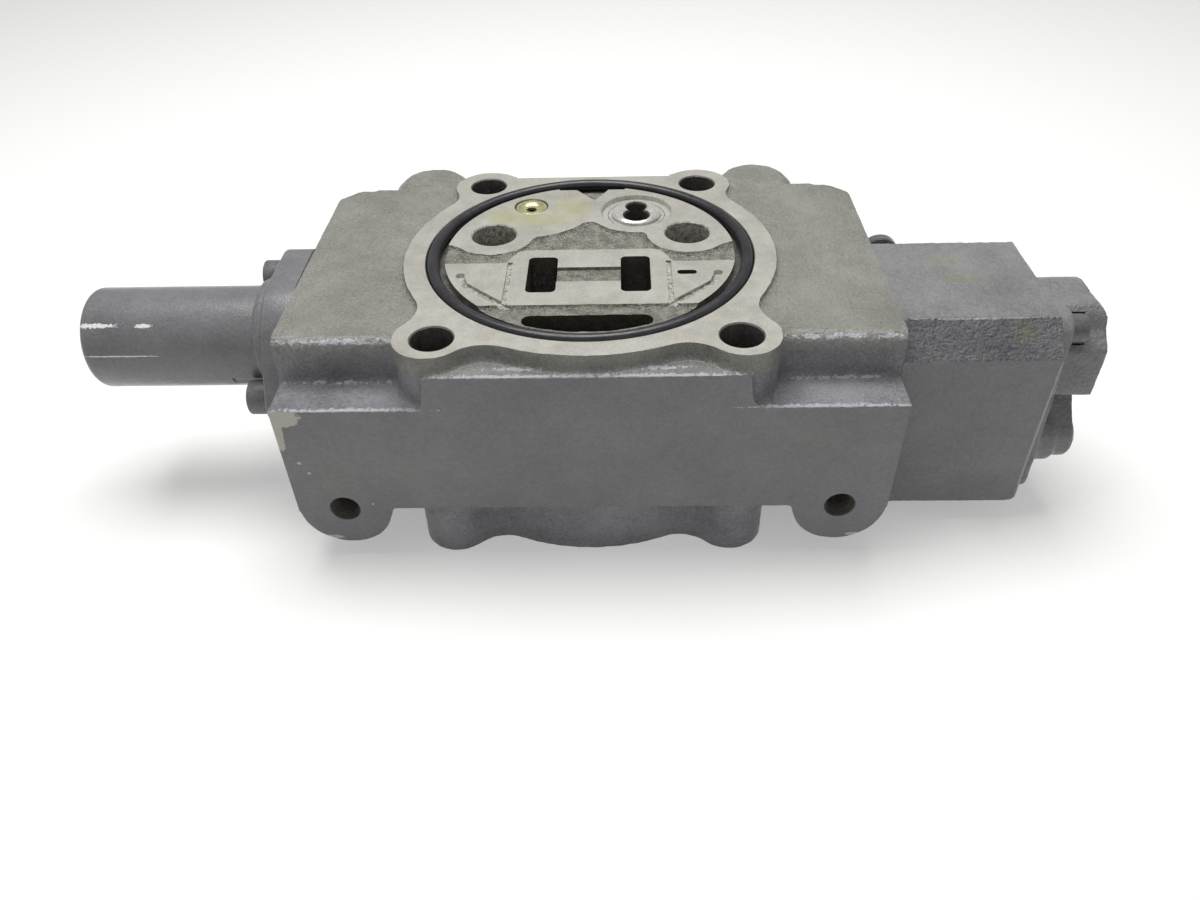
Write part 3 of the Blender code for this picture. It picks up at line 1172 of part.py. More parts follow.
def cover_cheek_outline():
    """Give the thick middle of the end cover, seen along X: crown, ledge and front cheek."""
    centre = (SPOOL_Y, SPOOL_Z)
    crown = [(COVER_CROWN_Y + COVER_CROWN_CUT, COVER_CROWN_Z),
             (COVER_CROWN_Y, COVER_CROWN_Z - COVER_CROWN_CUT),
             (COVER_CROWN_Y - COVER_CROWN_LEAN, COVER_LEDGE_Z + COVER_CROWN_CUT),
             (COVER_FRONT_Y + COVER_CHEEK_CUT, COVER_LEDGE_Z),
             (COVER_FRONT_Y, COVER_LEDGE_Z - COVER_CHEEK_CUT), (COVER_FRONT_Y, COVER_CHEEK_UNDER_Z),
             (SPOOL_Y, SPOOL_Z - COVER_ROUND_R)]
    back = arc(centre, COVER_ROUND_R, COVER_ROUND_START, COVER_ROUND_END)
    return crown + back


def make_cover():
    """Build the end cover: a thin flange with ears, the spring chamber and the selector lobe."""
    lobe = (SELECTOR_Y, SELECTOR_Z)
    spots = [((y, z), COVER_EAR_R) for y, z in COVER_EARS]
    top_front, back_high, back_low, front_low = spots
    flange = tangent_hull([top_front, front_low, back_low, back_high])
    cover = prism("end_cover", [flange], COVER_X, COVER_X + COVER_FLANGE, PART, "X")
    cheek = prism("add_cover_cheek", [cover_cheek_outline()], COVER_X + COVER_ROOT, COVER_END_X, CUTTERS, "X")
    lobe_body = prism("add_cover_lobe",
                      [tangent_hull([((SPOOL_Y, SPOOL_Z), COVER_WEB_R), (lobe, COVER_LOBE_R)])],
                      COVER_X + COVER_ROOT + SIDE_STEP, COVER_END_X - COVER_LOBE_SETBACK, CUTTERS, "X")
    join(cover, cheek, lobe_body)
    cut(cover, rod("cut_cover_chamber", COVER_BORE_R, (COVER_X - PAST, SPOOL_Y, SPOOL_Z),
                   COVER_FLOOR_X - COVER_X + PAST, "X", CUTTERS))
    cut(cover, rod("cut_cover_selector", SELECTOR_ROOM_R, (COVER_X - PAST, SELECTOR_Y, SELECTOR_Z),
                   COVER_FLOOR_X - COVER_X + PAST, "X", CUTTERS, SMALL))
    for number, (y, z) in enumerate(COVER_SCREW_PLACES, 1):
        cut(cover, rod(f"cut_cover_hole_{number}", COVER_SCREW_R + SCREW_CLEARANCE,
                       (COVER_X - PAST, y, z), COVER_FLANGE + PAST + COVER_SPOT_SPARE, "X", CUTTERS, 16))
        cut(cover, rod(f"cut_cover_spot_{number}", COVER_SCREW_HEAD_R + COVER_SPOT_MARGIN,
                       (COVER_X + COVER_FLANGE + THIN_STEP, y, z), 2 * COVER_SCREW_R + COVER_SPOT_SPARE,
                       "X", CUTTERS, 24))
        cap_screw(f"cover_screw_{number}", COVER_SCREW_HEAD_R, COVER_SCREW_R,
                  COVER_FLANGE + BLOCK_LENGTH + COVER_SCREW_GRIP,
                  (COVER_X + COVER_FLANGE + SEAT_GAP, y, z), 1, COVER_SCREW_SOCKET)
    own_material(cover, PAINT)


def make_selector():
    """Build the pilot selector spool, its spring seat and its spring."""
    start = BLOCK_END_X - SELECTOR_DEPTH + SELECTOR_BACK_GAP
    collar_face = BLOCK_END_X - SELECTOR_COLLAR_ROOM + SEAT_GAP
    length = collar_face - start
    waist_r = SELECTOR_R - SELECTOR_NECK_DEPTH
    low_edge, low_neck, high_neck, high_edge = (share * length for share in SELECTOR_NECK_SHARES)
    spool = turned("selector_spool",
                   [(0.0, length), (SELECTOR_R, length), (SELECTOR_R, high_edge),
                    (waist_r, high_neck), (waist_r, low_neck), (SELECTOR_R, low_edge),
                    (SELECTOR_R, SELECTOR_BEVEL), (SELECTOR_R - SELECTOR_BEVEL, 0.0), (0.0, 0.0)],
                   (start, SELECTOR_Y, SELECTOR_Z), "X", PART, sides=SMALL)
    own_material(spool, STEEL)
    seat_x = collar_face + SEAT_GAP
    nose_r = coil_inside(SELECTOR_SPRING_R, SELECTOR_WIRE_R)
    seat = turned("selector_spring_seat",
                  [(0.0, SELECTOR_COLLAR + SELECTOR_NOSE), (nose_r, SELECTOR_COLLAR + SELECTOR_NOSE),
                   (nose_r, SELECTOR_COLLAR), (SELECTOR_COLLAR_R, SELECTOR_COLLAR),
                   (SELECTOR_COLLAR_R, 0.0), (0.0, 0.0)],
                  (seat_x, SELECTOR_Y, SELECTOR_Z), "X", PART, sides=SMALL)
    own_material(seat, STEEL)
    near = seat_x + SELECTOR_COLLAR + SEAT_GAP
    coil("selector_spring", SELECTOR_SPRING_R, SELECTOR_WIRE_R, SELECTOR_SPRING_TURNS,
         (near, SELECTOR_Y, SELECTOR_Z), "X", COVER_FLOOR_X - SEAT_GAP - near)


def main():
    """Build every piece of the valve section."""
    make_body()
    make_seals()
    make_orifice()
    make_check()
    make_spool()
    make_seats()
    make_spring_cap()
    make_block()
    make_cover()
    make_selector()
    for made in PART.objects:
        smooth(made)


main()
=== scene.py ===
"""Boom control valve section: finely modelled castings, finishes, studio and camera.

Fields are in millimetres and turn to metres where a mesh is made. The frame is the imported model's:
X along the main spool, Y from the machined front plate to the work ports, Z up through the stack.
"""
import logging
import math
from collections.abc import Callable, Sequence
from dataclasses import dataclass
from enum import Enum
from typing import Any

import bpy
from mathutils import Matrix, Vector


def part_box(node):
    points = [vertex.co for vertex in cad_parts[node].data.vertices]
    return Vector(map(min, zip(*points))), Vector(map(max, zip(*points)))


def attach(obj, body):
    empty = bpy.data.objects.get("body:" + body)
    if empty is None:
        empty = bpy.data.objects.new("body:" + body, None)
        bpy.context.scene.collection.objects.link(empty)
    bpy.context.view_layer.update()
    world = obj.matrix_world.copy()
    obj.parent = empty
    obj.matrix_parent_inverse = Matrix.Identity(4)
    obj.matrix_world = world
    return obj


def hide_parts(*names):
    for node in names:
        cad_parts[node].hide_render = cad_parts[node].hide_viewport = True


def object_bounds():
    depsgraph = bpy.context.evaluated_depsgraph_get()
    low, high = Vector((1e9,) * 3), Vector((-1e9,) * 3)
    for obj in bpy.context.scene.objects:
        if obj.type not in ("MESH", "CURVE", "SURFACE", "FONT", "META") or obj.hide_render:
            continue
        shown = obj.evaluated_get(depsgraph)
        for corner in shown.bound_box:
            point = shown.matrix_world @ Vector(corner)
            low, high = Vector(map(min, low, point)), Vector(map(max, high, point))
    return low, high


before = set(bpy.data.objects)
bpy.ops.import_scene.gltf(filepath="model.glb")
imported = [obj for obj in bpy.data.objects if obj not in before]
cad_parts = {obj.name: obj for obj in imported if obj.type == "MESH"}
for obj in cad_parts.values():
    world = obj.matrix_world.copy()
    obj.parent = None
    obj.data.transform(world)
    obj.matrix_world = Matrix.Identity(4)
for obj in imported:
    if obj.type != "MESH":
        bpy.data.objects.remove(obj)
CAD_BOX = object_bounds()

LOG = logging.getLogger("valve")
MM = 0.001
HOUSING = "housing"
PAST = 6.0
FAR = 300.0
SHARP_ANGLE = 32.0
LAMP_AIM = (0.0, 0.0, 60.0)
COAT_ROUGHNESS = 0.25
STAIN_FADE = 1.2
CHIP_AND_GLINT_FADE = 0.12
Place = tuple[float, float, float]
Flat = tuple[float, float]
Colour = tuple[float, float, float, float]
# What two castings share: the axes that run along X as (y, z), and their bores
SPOOL_AXIS: Flat = (-22.3, 80.0)
SELECTOR_AXIS: Flat = (-50.0, 38.5)
SEAL_SEAT: Flat = (23.5, 3.3)
SPRING_ROOM_R = 19.2
SELECTOR_ROOM_R = 8.6
Piece = bpy.types.Object
Socket = bpy.types.NodeSocket
Tree = bpy.types.NodeTree


class Axis(Enum):
    """The direction that a turned or extruded shape is built along."""

    X = "x"
    Y = "y"
    Z = "z"


TURN = {
    Axis.X: Matrix.Rotation(math.pi / 2, 4, "Y"),
    Axis.Y: Matrix.Rotation(-math.pi / 2, 4, "X"),
    Axis.Z: Matrix.Identity(4),
}


def linear(code: str) -> Colour:
    """Turn an sRGB hex colour to linear light.

    Args:
        code: The colour as "#RRGGBB".

    Returns:
        Red, green, blue and alpha in linear light.
    """
    parts = [int(code[i:i + 2], 16) / 255 for i in (1, 3, 5)]
    light = [part / 12.92 if part <= 0.04045 else ((part + 0.055) / 1.055) ** 2.4 for part in parts]
    return (light[0], light[1], light[2], 1.0)


def add_node(tree: Tree, kind: str, settings: dict[str, Any] | None = None,
             inputs: dict[Any, Any] | None = None) -> bpy.types.Node:
    """Add a node with its settings and links.

    Args:
        tree: The node tree to add to.
        kind: The node's type name.
        settings: Properties to set on the node.
        inputs: Input names or numbers, each with a value or with the socket that feeds it.

    Returns:
        The new node.
    """
    made = tree.nodes.new(kind)
    for name, value in (settings or {}).items():
        setattr(made, name, value)
    for name, value in (inputs or {}).items():
        if isinstance(value, Socket):
            tree.links.new(value, made.inputs[name])
        else:
            made.inputs[name].default_value = value
    return made


def maths(tree: Tree, operation: str, *values: Socket | float) -> Socket:
    """Add a math node and give its result."""
    return add_node(tree, "ShaderNodeMath", {"operation": operation}, dict(enumerate(values))).outputs[0]


def noise(tree: Tree, place: Socket, size: float, detail: float, roughness: float = 0.5) -> Socket:
    """Add a noise whose features measure a size in millimetres."""
    return add_node(tree, "ShaderNodeTexNoise", None,
                    {"Vector": place, "Scale": 1.0 / (size * MM), "Detail": detail,
                     "Roughness": roughness}).outputs[0]


def spread(tree: Tree, value: Socket, old: Flat, new: Flat = (0.0, 1.0), kind: str = "LINEAR") -> Socket:
    """Map one range of values to another."""
    return add_node(tree, "ShaderNodeMapRange", {"interpolation_type": kind},
                    {"Value": value, "From Min": old[0], "From Max": old[1], "To Min": new[0],
                     "To Max": new[1]}).outputs[0]


def mix(tree: Tree, share: Socket, under: Socket | Colour, over: str) -> Socket:
    """Lay an sRGB hex colour over a tone by a share."""
    return add_node(tree, "ShaderNodeMix", {"data_type": "RGBA"},
                    {0: share, 6: under, 7: linear(over)}).outputs[2]


def any_of(tree: Tree, masks: Sequence[Socket]) -> Socket:
    """Join masks, so that the result is the strongest of them."""
    joined = masks[0]
    for other in masks[1:]:
        joined = maths(tree, "MAXIMUM", joined, other)
    return joined


@dataclass(frozen=True)
class Patch:
    """A stained, chipped or scuffed place on a surface, or a place where a highlight is painted in.

    Attributes:
        centre: Where the patch lies.
        reach: How far it spreads each way.
        ragged: How far its edge wanders, as a share of the reach.
        grain: The size of the wandering.
    """

    centre: Place
    reach: Place
    ragged: float = 0.6
    grain: float = 4.0

    def mask(self, tree: Tree, place: Socket, soft: float) -> Socket:
        """Build a mask that is 1 inside the patch.

        Args:
            tree: The material's tree.
            place: The object coordinates.
            soft: The width of the patch's fading edge, as a share of its reach.

        Returns:
            The mask's socket.
        """
        unit = place
        for operation, by in (("SUBTRACT", self.centre), ("DIVIDE", self.reach)):
            unit = add_node(tree, "ShaderNodeVectorMath", {"operation": operation},
                            {0: unit, 1: Vector(by) * MM}).outputs[0]
        off = add_node(tree, "ShaderNodeVectorMath", {"operation": "LENGTH"}, {0: unit}).outputs["Value"]
        sway = maths(tree, "MULTIPLY_ADD", noise(tree, place, self.grain, 4.0, 0.7), 2.0 * self.ragged, off)
        edge = 1.0 + self.ragged
        return spread(tree, sway, (edge + soft / 2, edge - soft / 2), kind="SMOOTHSTEP")


@dataclass(frozen=True)
class Finish:
    """One surface finish, built as a procedural material.

    Attributes:
        name: What the real material and its making are called.
        light: Its lighter tone.
        dark: Its darker tone.
        cloud: The size of its slow change of tone.
        speck: The size of its fine specks.
        roughness: Its mean roughness.
        uneven: How much the roughness changes.
        metallic: How far it is bare metal.
        grit: The size of its surface grain.
        grit_depth: The height of that grain.
        lump: The size of its wider unevenness.
        lump_depth: The height of that unevenness.
        stretch: How far the grain is drawn out along each axis.
        coat: The strength of a clear gloss on top.
        stains: Places with dried oil, and for the cast enamel a band tinted olive near the top height.
        stain_tone: The colour of the dried oil and of that tint.
        stain_strength: How strongly it covers.
        chips_and_glints: Places where the coat is gone, and places where a glint or glare is painted in.
        chip_and_glint_tone: The colour laid there, of the metal under the coat or of the painted highlight.
    """

    name: str
    light: str
    dark: str
    cloud: float = 30.0
    speck: float = 1.4
    roughness: float = 0.4
    uneven: float = 0.12
    metallic: float = 0.0
    grit: float = 1.2
    grit_depth: float = 0.0
    lump: float = 6.0
    lump_depth: float = 0.0
    stretch: Place = (1.0, 1.0, 1.0)
    coat: float = 0.0
    stains: tuple[Patch, ...] = ()
    stain_tone: str = "#8A8848"
    stain_strength: float = 0.4
    chips_and_glints: tuple[Patch, ...] = ()
    chip_and_glint_tone: str = "#C9C4B8"

    def material(self) -> bpy.types.Material:
        """Build the material, or give it back if it is there already."""
        known = bpy.data.materials.get(self.name)
        if known is not None:
            return known
        made = bpy.data.materials.new(self.name)
        made.use_nodes = True
        tree = made.node_tree
        shader = tree.nodes["Principled BSDF"]
        place = add_node(tree, "ShaderNodeTexCoord").outputs["Object"]
        tone = self.tone(tree, place)
        if self.stains:
            wet = any_of(tree, [patch.mask(tree, place, STAIN_FADE) for patch in self.stains])
            tone = mix(tree, maths(tree, "MULTIPLY", wet, self.stain_strength), tone, self.stain_tone)
        # Chips in the coat and painted highlights are both laid in the mark tone
        if self.chips_and_glints:
            bare = any_of(tree, [patch.mask(tree, place, CHIP_AND_GLINT_FADE) for patch in self.chips_and_glints])
            tone = mix(tree, bare, tone, self.chip_and_glint_tone)
        tree.links.new(tone, shader.inputs["Base Color"])
        shader.inputs["Metallic"].default_value = self.metallic
        tree.links.new(self.gloss(tree, place), shader.inputs["Roughness"])
        shader.inputs["Coat Weight"].default_value = self.coat
        shader.inputs["Coat Roughness"].default_value = COAT_ROUGHNESS
        if self.grit_depth or self.lump_depth:
            tree.links.new(self.relief(tree, place), shader.inputs["Normal"])
        return made

    def tone(self, tree: Tree, place: Socket) -> Socket:
        """Mix the two tones by a slow noise and a fine one."""
        slow = noise(tree, place, self.cloud, 6.0, 0.65)
        both = maths(tree, "MULTIPLY_ADD", noise(tree, place, self.speck, 3.0, 0.7), 0.9, slow)
        return mix(tree, spread(tree, both, (0.75, 1.15)), linear(self.dark), self.light)

    def gloss(self, tree: Tree, place: Socket) -> Socket:
        """Vary the roughness about its mean."""
        return spread(tree, noise(tree, place, self.cloud / 3, 5.0), (0.3, 0.7),
                      (self.roughness - self.uneven, self.roughness + self.uneven))

    def relief(self, tree: Tree, place: Socket) -> Socket:
        """Build the bump of the grain over the bump of the wider unevenness."""
        drawn = add_node(tree, "ShaderNodeMapping", None,
                         {"Vector": place, "Scale": tuple(1.0 / s for s in self.stretch)}).outputs[0]
        under = add_node(tree, "ShaderNodeBump", None, {
            "Height": noise(tree, place, self.lump, 3.0), "Strength": 1.0, "Distance": self.lump_depth * MM})
        return add_node(tree, "ShaderNodeBump", None, {
            "Height": noise(tree, drawn, self.grit, 3.0, 0.6), "Strength": 1.0,
            "Distance": self.grit_depth * MM, "Normal": under.outputs[0]}).outputs[0]


# Tints every surface near the sealing face's height olive, over all X and Y
TINT_NEAR_TOP = Patch((0.0, 0.0, 111.0), (400.0, 400.0, 9.0), 0.2, 9.0)
OIL_AND_TOP_TINT_ON_PAINT = (
    TINT_NEAR_TOP,
    Patch((-108.0, -34.0, 108.0), (11.0, 9.0, 30.0)), Patch((-118.0, 34.0, 108.0), (14.0, 10.0, 30.0)),
    Patch((112.0, 20.0, 108.0), (12.0, 12.0, 30.0)), Patch((118.0, -52.0, 108.0), (10.0, 6.0, 30.0)),
)
# Painted highlights: bright broken glints along the cast edges and the ledge's inner crease, laid in a pale
# tone
GLINTS_PAINTED_ON_EDGES = tuple(
    Patch(centre, reach, 2.4, 2.4) for side in (1, -1) for centre, reach in (
        ((side * 100.0, -90.0, 86.8), (33.0, 1.4, 0.9)), ((side * 104.0, -68.8, 107.0), (28.0, 1.3, 1.2)),
        ((side * 104.0, -70.6, 87.0), (28.0, 0.9, 0.8)), ((side * 32.0, -90.0, 103.0), (34.0, 1.4, 0.8)),
        ((side * 20.0, -84.5, 103.0), (18.0, 1.4, 0.8))))
OIL_ON_BLOCK = (Patch((164.0, -8.0, 107.0), (6.0, 3.6, 20.0)),
                Patch((168.0, -24.0, 107.0), (8.0, 3.0, 20.0)),
                Patch((186.0, -60.0, 100.0), (5.0, 3.5, 6.0)))
# Painted highlight: a broken glint along the top edge of the block's chamfer
GLINT_PAINTED_ON_BLOCK = (Patch((168.0, -55.6, 106.6), (32.0, 0.8, 0.8), 1.5, 1.5),)
OIL_ON_LAND = (Patch((-9.0, 44.0, 111.0), (9.0, 9.0, 10.0)), Patch((-26.0, 32.0, 111.0), (16.0, 6.0, 10.0)),
               Patch((-44.0, 34.0, 111.0), (8.0, 7.0, 10.0)))
# Chipped paint at the plate's left end and ear bottoms, a few nicks, and painted highlights: broken glints
# along the tongue's and the shoulders' top edges
CHIPS_AND_GLINTS_ON_PLATE = (Patch((-130.0, -90.0, 83.0), (9.0, 6.0, 4.6), 0.5, 3.0),
                 Patch((-132.5, -90.0, 74.0), (2.4, 6.0, 9.0), 0.5, 3.0),
                 Patch((-121.5, -90.0, 12.0), (5.0, 6.0, 1.2), 0.5, 2.0),
                 Patch((121.0, -90.0, 11.8), (4.0, 6.0, 1.0), 0.5, 2.0),
                 Patch((0.0, -90.2, 103.0), (66.0, 1.0, 0.5), 1.6, 2.4),
                 Patch((100.0, -90.2, 86.6), (33.0, 1.0, 0.5), 1.6, 2.4),
                 Patch((-100.0, -90.2, 86.6), (33.0, 1.0, 0.5), 1.6, 2.4),
                 Patch((-127.0, -90.2, 58.0), (1.0, 1.0, 0.8), 0.8, 1.0),
                 Patch((-124.0, -90.2, 52.0), (0.8, 1.0, 0.7), 0.8, 1.0),
                 Patch((-99.0, -90.2, 33.0), (0.7, 1.0, 0.5), 0.8, 1.0))
OIL_ON_PLATE = (Patch((-112.0, -90.0, 48.0), (9.0, 6.0, 10.0)),
                Patch((-80.0, -90.0, 50.0), (10.0, 6.0, 7.0)),
                Patch((98.0, -90.0, 70.0), (12.0, 6.0, 6.0)))
WEAR_ON_BLOCK = (Patch((201.0, -69.3, 52.0), (0.9, 0.9, 42.0), 0.6, 4.0),
                 Patch((134.3, -69.3, 50.0), (0.7, 0.7, 30.0), 0.6, 4.0))
# Scuffs and nicks on the tube; the two upper scuffs are painted glare in a near-white tone
SCUFFS_AND_GLARE_ON_TUBE = (Patch((-226.0, -38.5, 96.8), (10.0, 1.1, 1.1), 1.6, 1.2),
                  Patch((-203.0, -38.8, 96.6), (4.0, 1.0, 0.9), 1.2, 1.2),
                  Patch((-216.0, -45.4, 84.6), (18.0, 1.0, 0.3), 1.4, 1.0),
                  Patch((-205.0, -28.0, 57.2), (6.0, 3.0, 0.7), 0.9, 1.4))

# Satin enamel sprayed over sand-cast iron: fine sand grain under a thick soft-edged film, with painted
# highlights along its edges in the pale mark tone
CAST_ENAMEL = Finish(
    "satin_enamel_on_sand_cast_iron", "#929296", "#6A6A6F", roughness=0.38, uneven=0.09, grit=1.2,
    grit_depth=1.1, lump=4.0, lump_depth=1.3, coat=0.3, stains=OIL_AND_TOP_TINT_ON_PAINT, stain_tone="#9C9A70",
    stain_strength=0.26, chips_and_glints=GLINTS_PAINTED_ON_EDGES, chip_and_glint_tone="#B4B6BC")
BLOCK_ENAMEL = Finish(
    "satin_enamel_on_cast_block", "#8A8A89", "#6F6F71", roughness=0.38, uneven=0.08, grit=1.1,
    grit_depth=0.8, lump=3.4, lump_depth=0.8, coat=0.3, stains=OIL_ON_BLOCK, stain_strength=0.26)
# The same enamel over the block's rough chamfer: its tones are set darker than the block's top as painted
# shade, and a painted highlight runs along its top edge
CHAMFER_ENAMEL_WITH_PAINTED_SHADE = Finish(
    "satin_enamel_on_chamfer_with_painted_shade", "#727274", "#525256", roughness=0.36, uneven=0.1, grit=1.3,
    grit_depth=1.4, lump=3.0, lump_depth=1.4, coat=0.3, stains=OIL_ON_BLOCK, stain_strength=0.2,
    chips_and_glints=GLINT_PAINTED_ON_BLOCK, chip_and_glint_tone="#A7A9AE")
# The same enamel over a milled face: finely pimpled, with almost no cutter marks left; chipped at the left
# end and ears, with painted highlights along its top edges
MILLED_ENAMEL = Finish(
    "satin_enamel_on_milled_iron", "#7E7E81", "#6E6E71", cloud=45.0, roughness=0.42, uneven=0.06, grit=1.0,
    grit_depth=0.34, lump=5.0, lump_depth=0.4, coat=0.2, stains=OIL_ON_PLATE, stain_tone="#8A8668",
    stain_strength=0.16, chips_and_glints=CHIPS_AND_GLINTS_ON_PLATE, chip_and_glint_tone="#BEBAB0")
BLOCK_FRONT_ENAMEL = Finish(
    "satin_enamel_on_milled_block", "#818284", "#6E6F72", cloud=40.0, roughness=0.44, uneven=0.06, grit=1.0,
    grit_depth=0.5, lump=5.0, lump_depth=0.5, coat=0.15, chips_and_glints=WEAR_ON_BLOCK, chip_and_glint_tone="#A8A4A0")
# The same enamel over a turned tube: smooth, glossier, scuffed and nicked, with the glare on its upper
# scuffs painted in near-white
TURNED_ENAMEL = Finish(
    "satin_enamel_on_turned_steel", "#7E7E80", "#6B6B6D", cloud=24.0, roughness=0.33, uneven=0.07, grit=0.9,
    grit_depth=0.2, lump=7.0, lump_depth=0.3, coat=0.35, chips_and_glints=SCUFFS_AND_GLARE_ON_TUBE, chip_and_glint_tone="#F0F0EE")
SCREW_ENAMEL = Finish(
    "satin_enamel_on_black_screw", "#6E6E70", "#58585A", cloud=8.0, roughness=0.34, grit=0.6,
    grit_depth=0.08, lump=3.0, lump_depth=0.1, coat=0.3)
# Face-milled grey iron: pale and slightly beige, with faint cutter arcs and dried oil
MILLED_IRON = Finish(
    "face_milled_grey_iron", "#BDBBB1", "#A3A198", cloud=22.0, speck=0.9, roughness=0.40, uneven=0.08,
    metallic=0.25, grit=0.7, grit_depth=0.05, lump=8.0, lump_depth=0.03, stretch=(9.0, 1.0, 1.0),
    stains=OIL_ON_LAND, stain_tone="#A9A868", stain_strength=0.45)
# Bare sand-cast iron: grey, coarse, glinting where its grains catch the light
RAW_CAST = Finish(
    "bare_sand_cast_iron", "#A3A096", "#625F57", cloud=5.0, speck=0.9, roughness=0.46, uneven=0.14,
    metallic=0.35, grit=0.8, grit_depth=1.0, lump=2.4, lump_depth=0.6)
# Bored iron: fine turning lines, a thin film of oil
BORED_IRON = Finish(
    "bored_grey_iron", "#8F8D88", "#5E5C58", cloud=9.0, roughness=0.30, uneven=0.08, metallic=0.6, grit=0.7,
    grit_depth=0.05, stretch=(10.0, 10.0, 1.0))
# Reamed iron: pale, with bright streaks along the tool's path
REAMED_IRON = Finish(
    "reamed_grey_iron", "#D2CFC5", "#6A6862", cloud=2.4, speck=1.1, roughness=0.34, uneven=0.08,
    metallic=0.2, grit=0.8, grit_depth=0.1, stretch=(1.0, 1.0, 12.0))
# Cored oil passage: dark, rough, wet with oil
OIL_PASSAGE = Finish(
    "oily_cored_passage", "#565349", "#3A3832", cloud=6.0, roughness=0.45, metallic=0.1, grit=1.2,
    grit_depth=0.4, lump=4.0, lump_depth=0.5)
GROUND_STEEL = Finish(
    "ground_hardened_steel", "#B9BABD", "#9B9CA0", cloud=16.0, roughness=0.22, uneven=0.05, metallic=1.0,
    grit=0.5, grit_depth=0.01, stretch=(1.0, 12.0, 12.0))
TURNED_STEEL = Finish(
    "fine_turned_steel", "#D0CEC8", "#B4B2AC", cloud=6.0, roughness=0.30, uneven=0.05, metallic=0.35)
YELLOW_ZINC = Finish(
    "yellow_passivated_zinc", "#C9C69A", "#A5A27A", cloud=3.0, roughness=0.30, uneven=0.06, metallic=0.5)
SPRING_WIRE = Finish(
    "oiled_spring_wire", "#6F6F73", "#4C4C50", cloud=6.0, roughness=0.32, metallic=0.9, grit=0.5,
    grit_depth=0.03)
# Moulded nitrile rubber wet with oil: black, soft gloss
NITRILE = Finish(
    "moulded_nitrile_rubber", "#343437", "#222225", cloud=12.0, roughness=0.34, uneven=0.08, grit=0.6,
    grit_depth=0.02, lump=7.0, lump_depth=0.08)


def put_down() -> None:
    """Leave edit mode and select nothing."""
    if bpy.context.object is not None and bpy.context.object.mode != "OBJECT":
        bpy.ops.object.mode_set(mode="OBJECT")
    bpy.ops.object.select_all(action="DESELECT")


def take(piece: Piece) -> None:
    """Select one piece alone and make it the active one."""
    put_down()
    piece.select_set(True)
    bpy.context.view_layer.objects.active = piece


def paint(piece: Piece, finish: Finish) -> None:
    """Give a piece one finish all over."""
    piece.data.materials.clear()
    piece.data.materials.append(finish.material())


def refinish(piece: Piece, finish: Finish, wanted: Callable[[Vector], bool]) -> None:
    """Give the faces of the first finish that pass a test on their middles another one."""
    piece.data.materials.append(finish.material())
    other = len(piece.data.materials) - 1
    for face in piece.data.polygons:
        if face.material_index == 0 and wanted(face.center / MM):
            face.material_index = other


def settle(piece: Piece, name: str, axis: Axis, place: Place = (0.0, 0.0, 0.0)) -> Piece:
    """Turn a piece that was shaped along Z to its axis, move it to its place and apply both.

    Args:
        piece: The new piece.
        name: Its name.
        axis: The axis to turn its Z to.
        place: Where its own origin goes.

    Returns:
        The piece.
    """
    piece.name = name
    piece.data.transform(Matrix.Translation(Vector(place) * MM) @ TURN[axis])
    take(piece)
    bpy.ops.object.mode_set(mode="EDIT")
    bpy.ops.mesh.select_all(action="SELECT")
    bpy.ops.mesh.remove_doubles(threshold=1e-6)
    bpy.ops.mesh.normals_make_consistent(inside=False)
    bpy.ops.object.mode_set(mode="OBJECT")
    return piece


def outlined(name: str, outline: Sequence[Flat], low: float, high: float, axis: Axis) -> Piece:
    """Shape a circle to an outline and extrude it between two heights.

    Args:
        name: The piece's name.
        outline: Points (x, y) for axis Z, (y, z) for X and (x, z) for Y.
        low: Where it starts along the axis.
        high: Where it ends.
        axis: The axis that it runs along.

    Returns:
        The closed piece.
    """
    put_down()
    bpy.ops.mesh.primitive_circle_add(vertices=len(outline), radius=0.01, fill_type="NGON")
    piece = bpy.context.object
    along = list(Axis).index(axis)
    for vert, flat in zip(piece.data.vertices, outline):
        vert.co = Vector((*flat[:along], low, *flat[along:])) * MM
    run = Vector([float(number == along) for number in range(3)])
    bpy.ops.object.mode_set(mode="EDIT")
    bpy.ops.mesh.select_all(action="SELECT")
    bpy.ops.mesh.extrude_region_move(
        TRANSFORM_OT_translate={"value": run * (high - low) * MM, "orient_type": "GLOBAL"})
    bpy.ops.object.mode_set(mode="OBJECT")
    return settle(piece, name, Axis.Z)


def turned(name: str, profile: Sequence[Flat], place: Place, axis: Axis, steps: int = 64,
           ring: bool = False) -> Piece:
    """Spin a profile of (radius, height) points about an axis.

    Args:
        name: The piece's name.
        profile: The points; without ring they start and end on the axis.
        place: Where the profile's height 0 lies.
        axis: The axis to turn about.
        steps: How many sides the piece gets.
        ring: Whether the profile is closed and stays clear of the axis.

    Returns:
        The closed piece.
    """
    put_down()
    bpy.ops.mesh.primitive_circle_add(vertices=len(profile), radius=0.01, fill_type="NOTHING")
    piece = bpy.context.object
    for vert, (radius, height) in zip(piece.data.vertices, profile):
        vert.co = (radius * MM, 0.0, height * MM)
    bpy.ops.object.mode_set(mode="EDIT")
    bpy.ops.mesh.select_mode(type="EDGE")
    if not ring:
        bpy.ops.mesh.select_all(action="DESELECT")
        bpy.ops.object.mode_set(mode="OBJECT")
        ends = {0, len(profile) - 1}
        for edge in piece.data.edges:
            edge.select = set(edge.vertices) == ends
        bpy.ops.object.mode_set(mode="EDIT")
        bpy.ops.mesh.delete(type="EDGE")
    bpy.ops.mesh.select_all(action="SELECT")
    bpy.ops.mesh.spin(steps=steps, angle=2 * math.pi, center=(0, 0, 0), axis=(0, 0, 1), dupli=False)
    bpy.ops.object.mode_set(mode="OBJECT")
    return settle(piece, name, axis, place)


